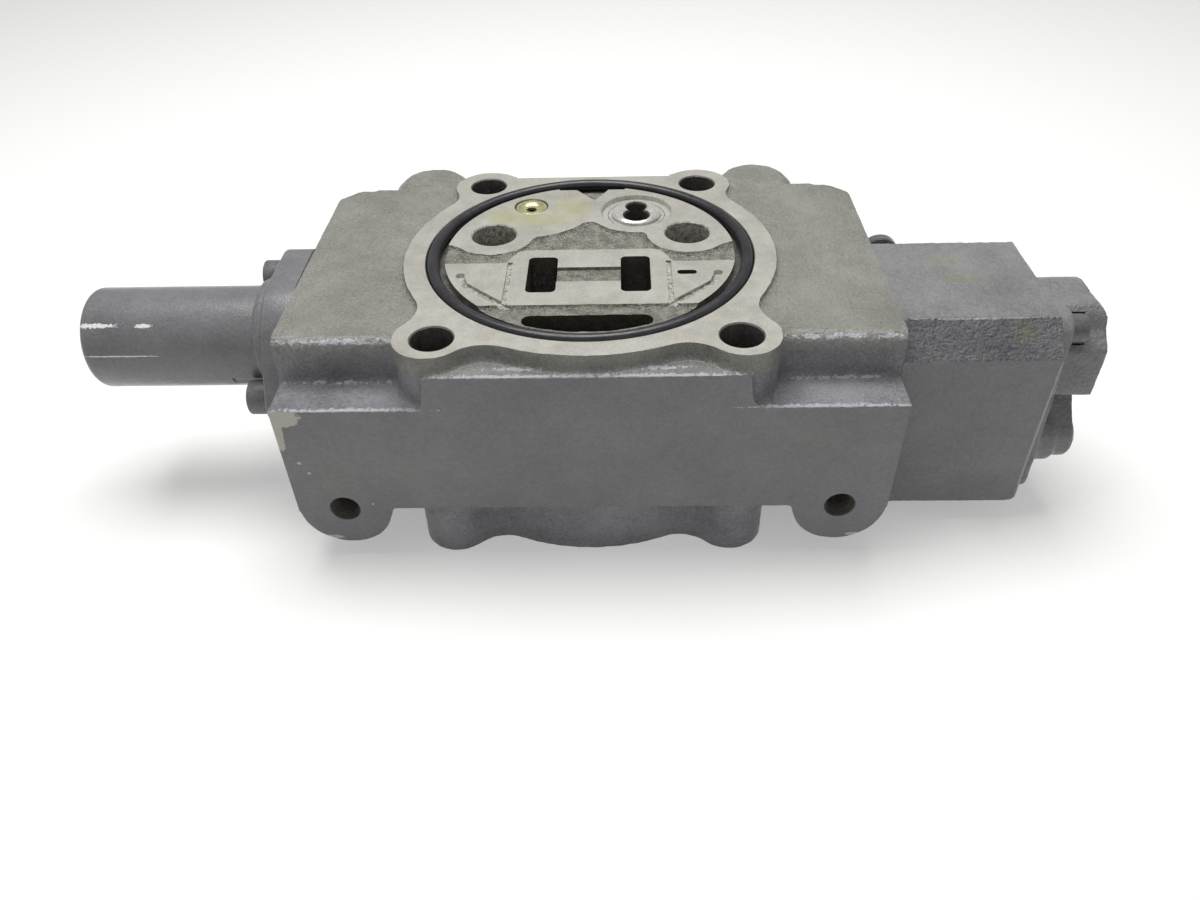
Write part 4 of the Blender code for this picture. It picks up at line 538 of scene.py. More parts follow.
def rod(name: str, radius: float, place: Place, length: float, axis: Axis, sides: int = 48) -> Piece:
    """Make a round bar that starts at a place, as a cutter."""
    put_down()
    bpy.ops.mesh.primitive_cylinder_add(vertices=sides, radius=radius * MM, depth=abs(length) * MM)
    piece = bpy.context.object
    piece.data.transform(Matrix.Translation((0, 0, length * MM / 2)))
    return settle(piece, name, axis, place)


def brick(name: str, low: Sequence[float], high: Sequence[float]) -> Piece:
    """Make a box between two corners."""
    put_down()
    middle = (Vector(low) + Vector(high)) / 2
    bpy.ops.mesh.primitive_cube_add(size=1.0)
    piece = bpy.context.object
    size = Vector(high) - Vector(low)
    piece.data.transform(Matrix.Translation(middle * MM) @ Matrix.Diagonal((*(size * MM), 1.0)))
    return settle(piece, name, Axis.Z)


def round_edges(piece: Piece, wanted: Callable[[Vector, Vector], bool], width: float,
                segments: int = 3) -> None:
    """Bevel the edges that pass a test.

    Args:
        piece: The piece to shape.
        wanted: A test on an edge's two ends, in millimetres.
        width: The bevel's width.
        segments: How many faces it has across.
    """
    take(piece)
    bpy.ops.object.mode_set(mode="EDIT")
    bpy.ops.mesh.select_mode(type="EDGE")
    bpy.ops.mesh.select_all(action="DESELECT")
    bpy.ops.object.mode_set(mode="OBJECT")
    verts = piece.data.vertices
    for edge in piece.data.edges:
        first, second = (verts[i].co / MM for i in edge.vertices)
        edge.select = wanted(first, second)
    bpy.ops.object.mode_set(mode="EDIT")
    bpy.ops.mesh.bevel(offset=width * MM, offset_type="OFFSET", segments=segments, profile=0.5,
                       affect="EDGES", clamp_overlap=True)
    bpy.ops.object.mode_set(mode="OBJECT")


def modify(piece: Piece, kind: str, **settings: Any) -> None:
    """Add a modifier with its settings and apply it."""
    take(piece)
    step = piece.modifiers.new(kind.lower(), kind)
    for name, value in settings.items():
        setattr(step, name, value)
    bpy.ops.object.modifier_apply(modifier=step.name)


def join(piece: Piece, tool: Piece, finish: Finish | None = None, operation: str = "UNION") -> None:
    """Combine a piece with a shape, whose faces bring the finish, and remove the shape."""
    if finish is not None:
        paint(tool, finish)
    modify(piece, "BOOLEAN", operation=operation, solver="MANIFOLD", object=tool, material_mode="TRANSFER")
    bpy.data.objects.remove(tool, do_unlink=True)


def cut(piece: Piece, tool: Piece, finish: Finish | None = None) -> None:
    """Cut a shape out of a piece, whose new faces take the finish, and remove the shape."""
    join(piece, tool, finish, "DIFFERENCE")


def mill(piece: Piece, axis: Axis, level: float, outward: int, finish: Finish) -> None:
    """Mill a piece flat at a level, taking away all that lies outward of it."""
    low, high = [-FAR] * 3, [FAR] * 3
    (low if outward > 0 else high)[list(Axis).index(axis)] = level
    cut(piece, brick("mill", low, high), finish)


def cast(piece: Piece, finish: Finish, grain: float, passes: int, relief: float, lump: float) -> None:
    """Give a shape the soft corners and uneven skin of a sand casting.

    Args:
        piece: The piece to cast.
        finish: The finish it gets all over.
        grain: The size of the skin's mesh.
        passes: How often corners are eased.
        relief: The height of the unevenness.
        lump: The size of the unevenness.
    """
    modify(piece, "REMESH", mode="VOXEL", voxel_size=grain * MM)
    modify(piece, "SMOOTH", factor=0.5, iterations=passes)
    sand = bpy.data.textures.new(piece.name + "_sand", "CLOUDS")
    sand.noise_scale = lump * MM
    sand.noise_depth = 2
    modify(piece, "DISPLACE", texture=sand, strength=relief * MM, mid_level=0.5, texture_coords="LOCAL")
    paint(piece, finish)


def dress(piece: Piece, node: str) -> None:
    """Shade a finished piece, and tie it to the housing and the node that it stands for.

    Args:
        piece: The finished piece.
        node: The node that it replaces.
    """
    take(piece)
    bpy.ops.object.shade_smooth_by_angle(angle=math.radians(SHARP_ANGLE))
    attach(piece, HOUSING)
    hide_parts(node)
    LOG.info("%s: %d faces for %s", piece.name, len(piece.data.polygons), node)


def arc(centre: Flat, radius: float, start: float, end: float, step: float = 4.0) -> list[Flat]:
    """Give points along an arc, angles in degrees, both ends included."""
    count = max(2, math.ceil(abs(end - start) / step) + 1)
    turns = [math.radians(start + (end - start) * i / (count - 1)) for i in range(count)]
    return [(centre[0] + radius * math.cos(turn), centre[1] + radius * math.sin(turn)) for turn in turns]


def bearing(centre: Flat, point: Flat) -> float:
    """Give the direction from a centre to a point, in degrees."""
    return math.degrees(math.atan2(point[1] - centre[1], point[0] - centre[0]))


def meet(first: Flat, first_r: float, second: Flat, second_r: float, side: int) -> Flat:
    """Give where two circles cross.

    Args:
        first: The first centre.
        first_r: Its radius.
        second: The second centre.
        second_r: Its radius.
        side: 1 for the crossing on the left of the line between the centres, -1 for the right.

    Returns:
        The crossing.
    """
    gap = Vector(second) - Vector(first)
    along = (gap.length ** 2 + first_r ** 2 - second_r ** 2) / (2 * gap.length)
    across = math.sqrt(max(first_r ** 2 - along ** 2, 0.0))
    unit = gap.normalized()
    point = Vector(first) + unit * along + Vector((-unit.y, unit.x)) * across * side
    return (point.x, point.y)


def hollow(centre: Flat, radius: float, come_from: Flat, go_to: Flat) -> list[Flat]:
    """Give a hollow arc that touches the circles around two other centres."""
    first = bearing(centre, come_from)
    last = bearing(centre, go_to)
    return arc(centre, radius, first, last - 360.0 if last > first else last)


def mirrored(points: Sequence[Flat]) -> list[Flat]:
    """Give the same points on the other side of the middle, in the order that closes an outline."""
    return [(-across, up) for across, up in reversed(points)]


def slot_outline(first: Flat, second: Flat, width: float) -> list[Flat]:
    """Give the outline of a slot with round ends between two centres."""
    heading = bearing(first, second)
    return (arc(second, width / 2, heading - 90, heading + 90, 12)
            + arc(first, width / 2, heading + 90, heading + 270, 12))


def window_outline(low: Flat, high: Flat, corner: float) -> list[Flat]:
    """Give a rectangle with round corners."""
    centres = ((high[0] - corner, high[1] - corner), (low[0] + corner, high[1] - corner),
               (low[0] + corner, low[1] + corner), (high[0] - corner, low[1] + corner))
    outline: list[Flat] = []
    for quarter, centre in enumerate(centres):
        outline += arc(centre, corner, 90 * quarter, 90 * quarter + 90, 15)
    return outline


def belt(circles: Sequence[tuple[Flat, float]]) -> list[Flat]:
    """Give the outline of a belt around circles listed counter-clockwise, as (centre, radius)."""
    def lean(first: tuple[Flat, float], second: tuple[Flat, float]) -> float:
        """Give the direction in which the outer belt of two circles touches them."""
        apart = (Vector(second[0]) - Vector(first[0])).length
        return bearing(first[0], second[0]) - math.degrees(math.acos((first[1] - second[1]) / apart))
    outline: list[Flat] = []
    for i, (centre, radius) in enumerate(circles):
        first = lean(circles[i - 1], circles[i])
        last = lean(circles[i], circles[(i + 1) % len(circles)])
        outline += arc(centre, radius, first, last + (360.0 if last < first else 0.0), 5.0)
    return outline


@dataclass
class ValveBody:
    """The cast body: a sand-cast blank, then every milled face, groove, port and bore."""

    height: float = 111.0
    flange_r: float = 87.0
    half_length: float = 133.7
    front: float = -90.4
    shoulder: float = 86.6
    housing_top: float = 108.0
    housing_front: float = -70.0
    housing_back: float = 75.0
    housing_under: float = 29.2
    spare: float = 2.4
    front_bolt: Flat = (64.0, -73.4)
    back_bolt: Flat = (55.0, 70.8)
    bolt_hole_r: float = 9.05
    front_lobe: Flat = (65.0, -72.2)
    front_ear: Flat = (15.8, 18.0)
    back_ear: Flat = (17.0, 14.0)
    back_flat: float = 80.5
    back_half: float = 41.0
    pocket_r: float = 70.0
    pocket_floor: float = 109.0
    groove: Flat = (68.0, 76.8)
    groove_depth: float = 4.4
    gallery: Flat = (46.8, 16.4)
    gallery_r: float = 10.75
    gallery_land_r: float = 19.5
    orifice: Flat = (-30.7, 46.5)
    orifice_land_r: float = 32.7
    check: Flat = (22.6, 40.8)
    check_land_r: float = 23.5
    spool_r: float = 14.2
    chamber_r: float = 19.0
    ear: Flat = (112.3, 30.2)
    ear_r: float = 21.0
    lump: Flat = (87.0, 84.0)
    lump_r: float = 20.5
    port_face: float = 97.0
    port_r: float = 12.0
    check_steps: tuple[Flat, ...] = ((17.6, 108.4), (14.4, 96.1), (12.4, 63.1))
    orifice_steps: tuple[Flat, ...] = ((8.3, 107.6), (4.2, -PAST))

    def flange_outline(self) -> list[Flat]:
        """Give the stack flange: a disc with four ears, joined by hollow waists."""
        hub = (0.0, 0.0)
        ears = []
        for side, (x, y), (ear_r, waist_r) in ((1, self.front_lobe, self.front_ear),
                                               (1, self.back_bolt, self.back_ear),
                                               (-1, self.back_bolt, self.back_ear),
                                               (-1, self.front_lobe, self.front_ear)):
            ear = (side * x, y)
            waists = [meet(hub, self.flange_r + waist_r, ear, ear_r + waist_r, turn) for turn in (-1, 1)]
            ears.append((ear, ear_r, waist_r, waists))
        outline: list[Flat] = []
        for i, (ear, ear_r, waist_r, (before, after)) in enumerate(ears):
            start = bearing(ear, before)
            end = bearing(ear, after)
            outline += hollow(before, waist_r, hub, ear)
            outline += arc(ear, ear_r, start, end + (360.0 if end < start else 0.0))[1:-1]
            outline += hollow(after, waist_r, ear, hub)
            leave = bearing(hub, after)
            reach = bearing(hub, ears[(i + 1) % len(ears)][3][0])
            outline += arc(hub, self.flange_r, leave, reach + (360.0 if reach < leave else 0.0), 3.0)[1:-1]
        return outline

    def back_land(self) -> list[Flat]:
        """Give the land around the galleries, the orifice and the load check."""
        hub = (0.0, 0.0)
        left = (-self.gallery[0], self.gallery[1])
        edge = self.pocket_r + 1.0
        lens = (17.5, 65.0)
        rim_bearing, rim_turn = 7.0, 40.0
        left_end = meet(left, self.gallery_land_r, self.orifice, self.orifice_land_r, -1)
        peak = meet(self.orifice, self.orifice_land_r, self.check, self.check_land_r, -1)
        valley = meet(self.orifice, self.orifice_land_r, self.check, self.check_land_r, 1)
        right_start = meet(self.check, self.check_land_r, self.gallery, self.gallery_land_r, -1)
        rim = (lens[0], math.sqrt(edge ** 2 - lens[0] ** 2))
        outline = arc(left, self.gallery_land_r, 180 + rim_turn, 360 + bearing(left, left_end))
        outline += arc(self.orifice, self.orifice_land_r, bearing(self.orifice, left_end),
                       bearing(self.orifice, peak) - 12.0)[1:]
        outline += arc(self.check, self.check_land_r, bearing(self.check, peak) + 17.0,
                       bearing(self.check, right_start))
        outline += arc(self.gallery, self.gallery_land_r, bearing(self.gallery, right_start),
                       360 - rim_turn)[1:]
        outline += arc(hub, edge, rim_bearing, bearing(hub, rim))
        outline += [lens, (lens[0] / 2, lens[1] - 0.3), valley, (-lens[0] / 2, lens[1] - 0.3),
                    (-lens[0], lens[1])]
        outline += arc(hub, edge, 180.0 - bearing(hub, rim), 180.0 - rim_bearing)
        return outline

    def mid_land(self) -> list[Flat]:
        """Give the land around the feed windows, with a side land each way."""
        edge = self.pocket_r + 1.0
        front, back = -48.0, -11.6
        right = arc((0.0, 0.0), edge, -math.degrees(math.asin(-front / edge)),
                    -math.degrees(math.asin(-back / edge)))
        crown = [(38.5, -12.0), (36.6, -7.5), (33.6, -2.0), (31.0, 0.0)]
        return right + crown + mirrored(right + crown)

    def plate_outline(self, grow: float) -> list[Flat]:
        """Give the front plate: two ears below, square shoulders, a raised tongue with hollow feet."""
        x, z = self.ear
        right = arc((x, z), self.ear_r, -180.0, 0.0)
        right += [(self.half_length + grow, z), (self.half_length + grow, self.shoulder)]
        foot, top = 3.0, 103.0
        shares = (0.0, 0.15, 0.3, 0.5, 0.75, 1.0)
        right += [(67.0 + foot * (1 - share) ** 2, self.shoulder + (top - self.shoulder) * share)
                  for share in shares]
        return right + mirrored(right)

    def sweep_outline(self) -> list[Flat]:
        """Give the plan of the hollow sweep from the housing's front to the tongue's sides."""
        hub = (85.0, self.housing_front - 18.0)
        right = arc(hub, 18.0, 180, 90) + [(hub[0], self.housing_front + 4.0)]
        return right + mirrored(right)

    def pump_outline(self) -> list[Flat]:
        """Give the pump port's outline: straight at the back, round with the seal ring in front."""
        front, back, end = 66.9, -53.8, 4.15
        end_y = back - end
        end_x = math.sqrt((front - end) ** 2 - end_y ** 2)
        turn = bearing((0.0, 0.0), (end_x, end_y))
        right = arc((end_x, end_y), end, turn, 90, 12)
        return arc((0.0, 0.0), front, -180 - turn, turn)[1:-1] + right + mirrored(right)

    def blank(self) -> Piece:
        """Cast the blank, a little oversize where it is milled later."""
        top = self.height + self.spare
        piece = outlined("body_casting", self.flange_outline(), -self.spare, top, Axis.Z)
        house = brick("housing", (-self.half_length - self.spare, self.housing_front, self.housing_under),
                      (self.half_length + self.spare, self.housing_back, self.housing_top))
        round_edges(house, lambda a, b: a.y > 0 and b.y > 0 and abs(a.x - b.x) < 1 and abs(a.z - b.z) > 5,
                    20.0, 8)
        round_edges(house, lambda a, b: min(a.z, b.z) > self.housing_top - 0.1
                    and max(a.y, b.y) < self.housing_front + 0.1, 5.0, 4)
        join(piece, house)
        join(piece, outlined("plate", self.plate_outline(self.spare), self.front - self.spare,
                             self.housing_front + 10.0, Axis.Y))
        join(piece, outlined("sweep", self.sweep_outline(), self.shoulder - 4.0, 102.6, Axis.Z))
        join(piece, brick("pad", (99.7, -66.0, 13.0), (self.half_length + self.spare, 21.0, 33.0)))
        lift = self.housing_top + 0.6
        for side in (1, -1):
            lobe = [(0.0, lift), (self.lump_r - 5.0, lift), (self.lump_r, lift - 5.0), (self.lump_r, 34.0),
                    (self.lump_r - 4.0, 29.6), (0.0, 29.6)]
            join(piece, turned("lobe", lobe, (side * self.lump[0], self.lump[1], 0.0), Axis.Z))
        cut(piece, rod("pocket", self.pocket_r + 1.0, (0.0, 0.0, self.pocket_floor), PAST * 3, Axis.Z, 128))
        for name, outline in (("back_land", self.back_land()), ("mid_land", self.mid_land())):
            join(piece, outlined(name, outline, self.pocket_floor - 2.0, top, Axis.Z))
        cast(piece, CAST_ENAMEL, 1.5, 2, 0.7, 5.0)
        return piece

    def mill(self, piece: Piece) -> None:
        """Mill the outer faces flat."""
        for axis, level, outward, finish in (
                (Axis.Z, self.height, 1, MILLED_IRON), (Axis.Z, 0.0, -1, MILLED_IRON),
                (Axis.Y, self.front, -1, MILLED_ENAMEL), (Axis.X, self.half_length, 1, MILLED_ENAMEL),
                (Axis.X, -self.half_length, -1, MILLED_ENAMEL)):
            mill(piece, axis, level, outward, finish)
        cut(piece, brick("back_flat", (-self.back_half, self.back_flat, -FAR), (self.back_half, FAR, FAR)),
            CAST_ENAMEL)

    def bore(self, piece: Piece, name: str, spot: Flat, steps: Sequence[Flat], chamfer: float,
             finish: Finish) -> None:
        """Cut a stepped hole down from the sealing face.

        Args:
            piece: The body.
            name: The cutter's name.
            spot: The hole's centre.
            steps: The radius and the floor of each step, from the top down.
            chamfer: The chamfer at its mouth.
            finish: The finish of its faces.
        """
        top, mouth, above = self.height + PAST, steps[0][0] + chamfer, self.height - chamfer
        profile = [(0.0, top), (mouth, top), (mouth, self.height)]
        for radius, floor in steps:
            profile += [(radius, above), (radius, floor)]
            above = floor
        cut(piece, turned(name, profile + [(0.0, above)], (*spot, 0.0), Axis.Z), finish)

    def open_face(self, piece: Piece) -> None:
        """Cut everything that opens in the sealing face."""
        top = self.height + PAST
        inner, outer = self.groove
        floor = self.height - self.groove_depth
        cut(piece, turned("ring_groove", [(inner, top), (outer + 0.4, top), (outer + 0.4, self.height),
                                          (outer, self.height - 0.4), (outer, floor), (inner, floor)],
                          (0.0, 0.0, 0.0), Axis.Z, 160, ring=True), BORED_IRON)
        for side in (1, -1):
            for x, y in (self.front_bolt, self.back_bolt):
                self.bore(piece, "tie_bolt", (side * x, y), ((self.bolt_hole_r, -PAST),), 0.6, BORED_IRON)
            self.bore(piece, "gallery", (side * self.gallery[0], self.gallery[1]),
                      ((self.gallery_r, -PAST),), 0.6, REAMED_IRON)
            near, wide = sorted((side * 14.5, side * 28.0))
            cut(piece, outlined("feed", window_outline((near, -37.9), (wide, -6.7), 2.6), SPOOL_AXIS[1],
                                top, Axis.Z), OIL_PASSAGE)
            line = side * 36.5
            cut(piece, brick("score", (line - 1.2, -48.6, self.height - 1.0), (line + 1.2, -11.0, top)),
                REAMED_IRON)
            start, elbow, end = (58.5, -22.5), (56.0, -30.3), (35.5, -49.5)
            for first, second, width in ((start, elbow, 3.4), (elbow, end, 3.5)):
                path = slot_outline((side * first[0], first[1]), (side * second[0], second[1]), width)
                cut(piece, outlined("drain", path, self.height - 1.5, top, Axis.Z), REAMED_IRON)
            cut(piece, rod("drain_eye", 2.1, (side * start[0], start[1], self.height - 1.9), PAST * 2,
                           Axis.Z), TURNED_STEEL)
        cut(piece, outlined("pump_port", self.pump_outline(), -PAST, top, Axis.Z), OIL_PASSAGE)
        lens = [(-17.1, 64.6), (17.1, 64.6)] + arc((0.0, 0.0), 69.6, 75.8, 104.2)
        cut(piece, outlined("lens", lens, self.height - 16.0, top, Axis.Z), OIL_PASSAGE)
        cut(piece, brick("bridge", (-15.5, -28.7, self.height - 1.5), (15.5, -16.2, top)), RAW_CAST)
        sense = slot_outline((41.8, -21.7), (47.2, -21.7), 3.6)
        cut(piece, outlined("sense_slot", sense, self.height - 5.0, top, Axis.Z), OIL_PASSAGE)
        self.bore(piece, "check_pocket", self.check, self.check_steps, 0.4, TURNED_STEEL)
        self.bore(piece, "orifice_pocket", self.orifice, self.orifice_steps, 0.4, BORED_IRON)

    def open_sides(self, piece: Piece) -> None:
        """Cut the spool bore with its chambers, the work ports and the threaded ears."""
        y, z = SPOOL_AXIS
        end = self.half_length
        chambers = [(-5.0, 5.0)]
        for middle, half in ((87.0, 11.0), (46.8, 9.0), (21.25, 7.75)):
            chambers += [(middle - half, middle + half), (-middle - half, half - middle)]
        seal_r, seal_depth = SEAL_SEAT
        profile = [(0.0, end + PAST), (seal_r, end + PAST), (seal_r, end - seal_depth),
                   (self.spool_r, end - seal_depth)]
        for low, high in sorted(chambers, reverse=True):
            profile += [(self.spool_r, high), (self.chamber_r, high), (self.chamber_r, low),
                        (self.spool_r, low)]
        profile += [(self.spool_r, seal_depth - end), (seal_r, seal_depth - end), (seal_r, -end - PAST),
                    (0.0, -end - PAST)]
        cut(piece, turned("spool_bore", profile, (0.0, y, z), Axis.X, 72), OIL_PASSAGE)
        pitch, depth, core, root = 1.75, 22.0, 5.2, 0.8
        thread: list[Flat] = [(0.0, depth + 3.0), (core, depth)]
        for turn in range(int(depth / pitch) - 1, 0, -1):
            thread += [(core, (turn + 0.5) * pitch), (core + root, turn * pitch)]
        thread += [(6.2, 0.9), (7.0, 0.0), (7.0, -PAST), (0.0, -PAST)]
        for side in (1, -1):
            # The tapped holes take the dark oily passage finish, which also paints in the shade inside them
            cut(piece, turned("ear_thread", thread, (side * self.ear[0], self.front, self.ear[1]), Axis.Y),
                OIL_PASSAGE)
            port = [(0.0, 112.0), (17.0, 112.0), (17.0, self.port_face), (self.port_r + 1.4, self.port_face),
                    (self.port_r, self.port_face - 1.6), (self.port_r, y), (0.0, y)]
            cut(piece, turned("work_port", port, (side * self.lump[0], 0.0, z), Axis.Y), BORED_IRON)

    def build(self) -> None:
        """Build and dress the body."""
        piece = self.blank()
        self.mill(piece)
        self.open_face(piece)
        self.open_sides(piece)
        refinish(piece, RAW_CAST, lambda spot: spot.xy.length < self.groove[1]
                 and spot.z > self.pocket_floor - 6.0)
        dress(piece, "valve_body")


@dataclass
class Screw:
    """A socket-head cap screw, painted with the valve."""

    head_r: float
    shank_r: float
    socket: float
    grip: float

    def build(self, name: str, node: str, seat: Place, away: int) -> None:
        """Build one screw.

        Args:
            name: The piece's name.
            node: The node that it replaces.
            seat: Where its head's seat is.
            away: 1 where the head points along +X, -1 where it points along -X.
        """
        head = 2 * self.shank_r
        profile = [(0.0, head - 0.5), (self.head_r - 1.4, head - 0.5), (self.head_r - 1.1, head),
                   (self.head_r - 0.6, head), (self.head_r - 0.15, head - 0.25), (self.head_r, head - 0.8),
                   (self.head_r, 0.4), (self.head_r - 0.4, 0.0), (self.shank_r, 0.0),
                   (self.shank_r, -self.grip), (0.0, -self.grip)]
        if away < 0:
            profile = [(radius, -height) for radius, height in reversed(profile)]
        piece = turned(name, profile, seat, Axis.X, 48)
        deep = head * 0.55
        start = seat[0] + head - deep if away > 0 else seat[0] - head - PAST
        hexagon = self.socket / 2 / math.cos(math.radians(30))
        paint(piece, SCREW_ENAMEL)
        cut(piece, rod("socket", hexagon, (start, seat[1], seat[2]), deep + PAST, Axis.X, 6), SCREW_ENAMEL)
        dress(piece, node)


@dataclass
class SpringCap:
    """The tubular cap over the left centring spring, with its flange and two screws."""

    face: float = -133.8
    flange: float = -148.0
    end: float = -233.5
    tube_r: float = 23.6
    disc_r: float = 28.5
    ear_r: float = 13.0
    floor: float = -227.5
    pitch_r: float = 32.0
    lean: float = 30.0

    def screws(self) -> list[Flat]:
        """Give the two screws' places across X."""
        turn = math.radians(self.lean)
        return [(SPOOL_AXIS[0] + side * self.pitch_r * math.cos(turn),
                 SPOOL_AXIS[1] + side * self.pitch_r * math.sin(turn)) for side in (1, -1)]

    def build(self) -> None:
        """Build and dress the cap and its screws."""
        upper, lower = self.screws()
        disc = (SPOOL_AXIS, self.disc_r)
        outline = belt([disc, (upper, self.ear_r), disc, (lower, self.ear_r)])
        piece = outlined("spring_cap_shell", outline, self.flange, self.face, Axis.X)
        round_edges(piece, lambda a, b: max(a.x, b.x) < self.flange + 0.1, 1.6, 4)
        paint(piece, TURNED_ENAMEL)
        lip = 3.2
        hub_r, hub_end = 27.0, self.flange - 4.0
        tube = [(0.0, self.face - 2.0), (self.tube_r - 1.0, self.face - 2.0), (hub_r, self.flange + 4.0),
                (hub_r, hub_end + 1.6), (hub_r - 0.5, hub_end + 0.5), (hub_r - 1.6, hub_end),
                (self.tube_r + 0.8, hub_end - 0.2), (self.tube_r, hub_end - 1.0)]
        tube += [(self.tube_r - lip * (1 - math.cos(turn)), self.end + lip * (1 - math.sin(turn)))
                 for turn in (math.radians(15 * i) for i in range(7))]
        tube += [(0.0, self.end)]
        y, z = SPOOL_AXIS
        join(piece, turned("tube", tube, (0.0, y, z), Axis.X, 144), TURNED_ENAMEL)
        cut(piece, rod("cap_bore", SPRING_ROOM_R, (self.floor, y, z), self.face - self.floor + PAST, Axis.X,
                       96), BORED_IRON)
        screw = Screw(8.0, 5.0, 8.0, 32.0)
        for number, (across, up) in enumerate(self.screws(), 1):
            outside = (self.flange - 20.0, across, up)
            cut(piece, rod("spot", 9.0, outside, 19.99, Axis.X), TURNED_ENAMEL)
            cut(piece, rod("screw_hole", 5.4, outside, 40.0, Axis.X), BORED_IRON)
            screw.build(f"cap_screw_{number}", f"spring_cap_screw_{number}",
                        (self.flange - 0.3, across, up), -1)
        dress(piece, "spring_cap")


@dataclass
class EndBlock:
    """The rectangular end block with rough cast chamfers and a milled front, and its plug."""

    low: Place = (134.0, -69.5, 9.0)
    high: Place = (201.3, 24.4, 107.0)
    chamfer: Flat = (14.5, 13.5)
    foot: float = 5.0
    nose: float = 7.0
    plug: Flat = (144.0, 92.0)

    def build(self) -> None:
        """Build and dress the block and its plug."""
        (x0, y0, z0), (x1, y1, z1) = self.low, self.high
        across, up = self.chamfer
        raw = y0 - 1.5
        outline = [(raw + self.foot, z0), (y1 - self.foot, z0), (y1, z0 + self.foot), (y1, z1 - up),
                   (y1 - across, z1), (y0 + across, z1), (raw, z1 - up - 1.4), (raw, z0 + self.foot)]
        piece = outlined("end_block_casting", outline, x0 - 2.0, x1 + 2.0, Axis.X)
        corner = (x1 - self.nose, z0 + self.nose)
        nose = arc(corner, self.nose, 0, -90) + [(corner[0], z0 - PAST), (x1 + PAST, z0 - PAST),
                                                 (x1 + PAST, corner[1])]
        cut(piece, outlined("nose", nose, y0 - PAST, y1 + PAST, Axis.Y))
        cast(piece, BLOCK_ENAMEL, 1.3, 2, 0.8, 3.2)
        mill(piece, Axis.X, x0, -1, MILLED_ENAMEL)
        mill(piece, Axis.X, x1, 1, MILLED_ENAMEL)
        mill(piece, Axis.Y, y0, -1, BLOCK_FRONT_ENAMEL)
        # The chamfer takes the darker enamel: painted shade on its sloped face
        refinish(piece, CHAMFER_ENAMEL_WITH_PAINTED_SHADE, lambda spot: spot.y < y0 + across - 0.6 and spot.z > 88.0)
        y, z = SPOOL_AXIS
        seal_r, seal_depth = SEAL_SEAT
        bore = [(0.0, x1 + PAST), (seal_r, x1 + PAST), (seal_r, x1 - seal_depth),
                (SPRING_ROOM_R, x1 - seal_depth), (SPRING_ROOM_R, x0 - PAST), (0.0, x0 - PAST)]
        cut(piece, turned("block_bore", bore, (0.0, y, z), Axis.X), BORED_IRON)
        lower = [(0.0, x1 + PAST), (SELECTOR_ROOM_R, x1 + PAST), (SELECTOR_ROOM_R, x1 - 10.0),
                 (6.2, x1 - 10.0), (6.2, x1 - 46.0), (0.0, x1 - 46.0)]
        cut(piece, turned("selector_bore", lower, (0.0, *SELECTOR_AXIS), Axis.X), BORED_IRON)
        plug_x, plug_z = self.plug
        cut(piece, rod("plug_hole", 6.3, (plug_x, -3.1, plug_z), 40.0, Axis.Y), BORED_IRON)
        dress(piece, "end_block")
        back = y1 + 0.3
        plug = turned("plug_head", [(0.0, 6.0), (7.9, 6.0), (9.0, 5.5), (9.5, 4.6), (9.5, 0.5), (9.0, 0.0),
                                    (6.0, 0.0), (6.0, -12.0), (0.0, -12.0)],
                      (plug_x, back, plug_z), Axis.Y, 56)
        paint(plug, SCREW_ENAMEL)
        cut(plug, rod("plug_socket", 4.62, (plug_x, back + 2.0, plug_z), 10.0, Axis.Y, 6), SCREW_ENAMEL)
        dress(plug, "block_plug")


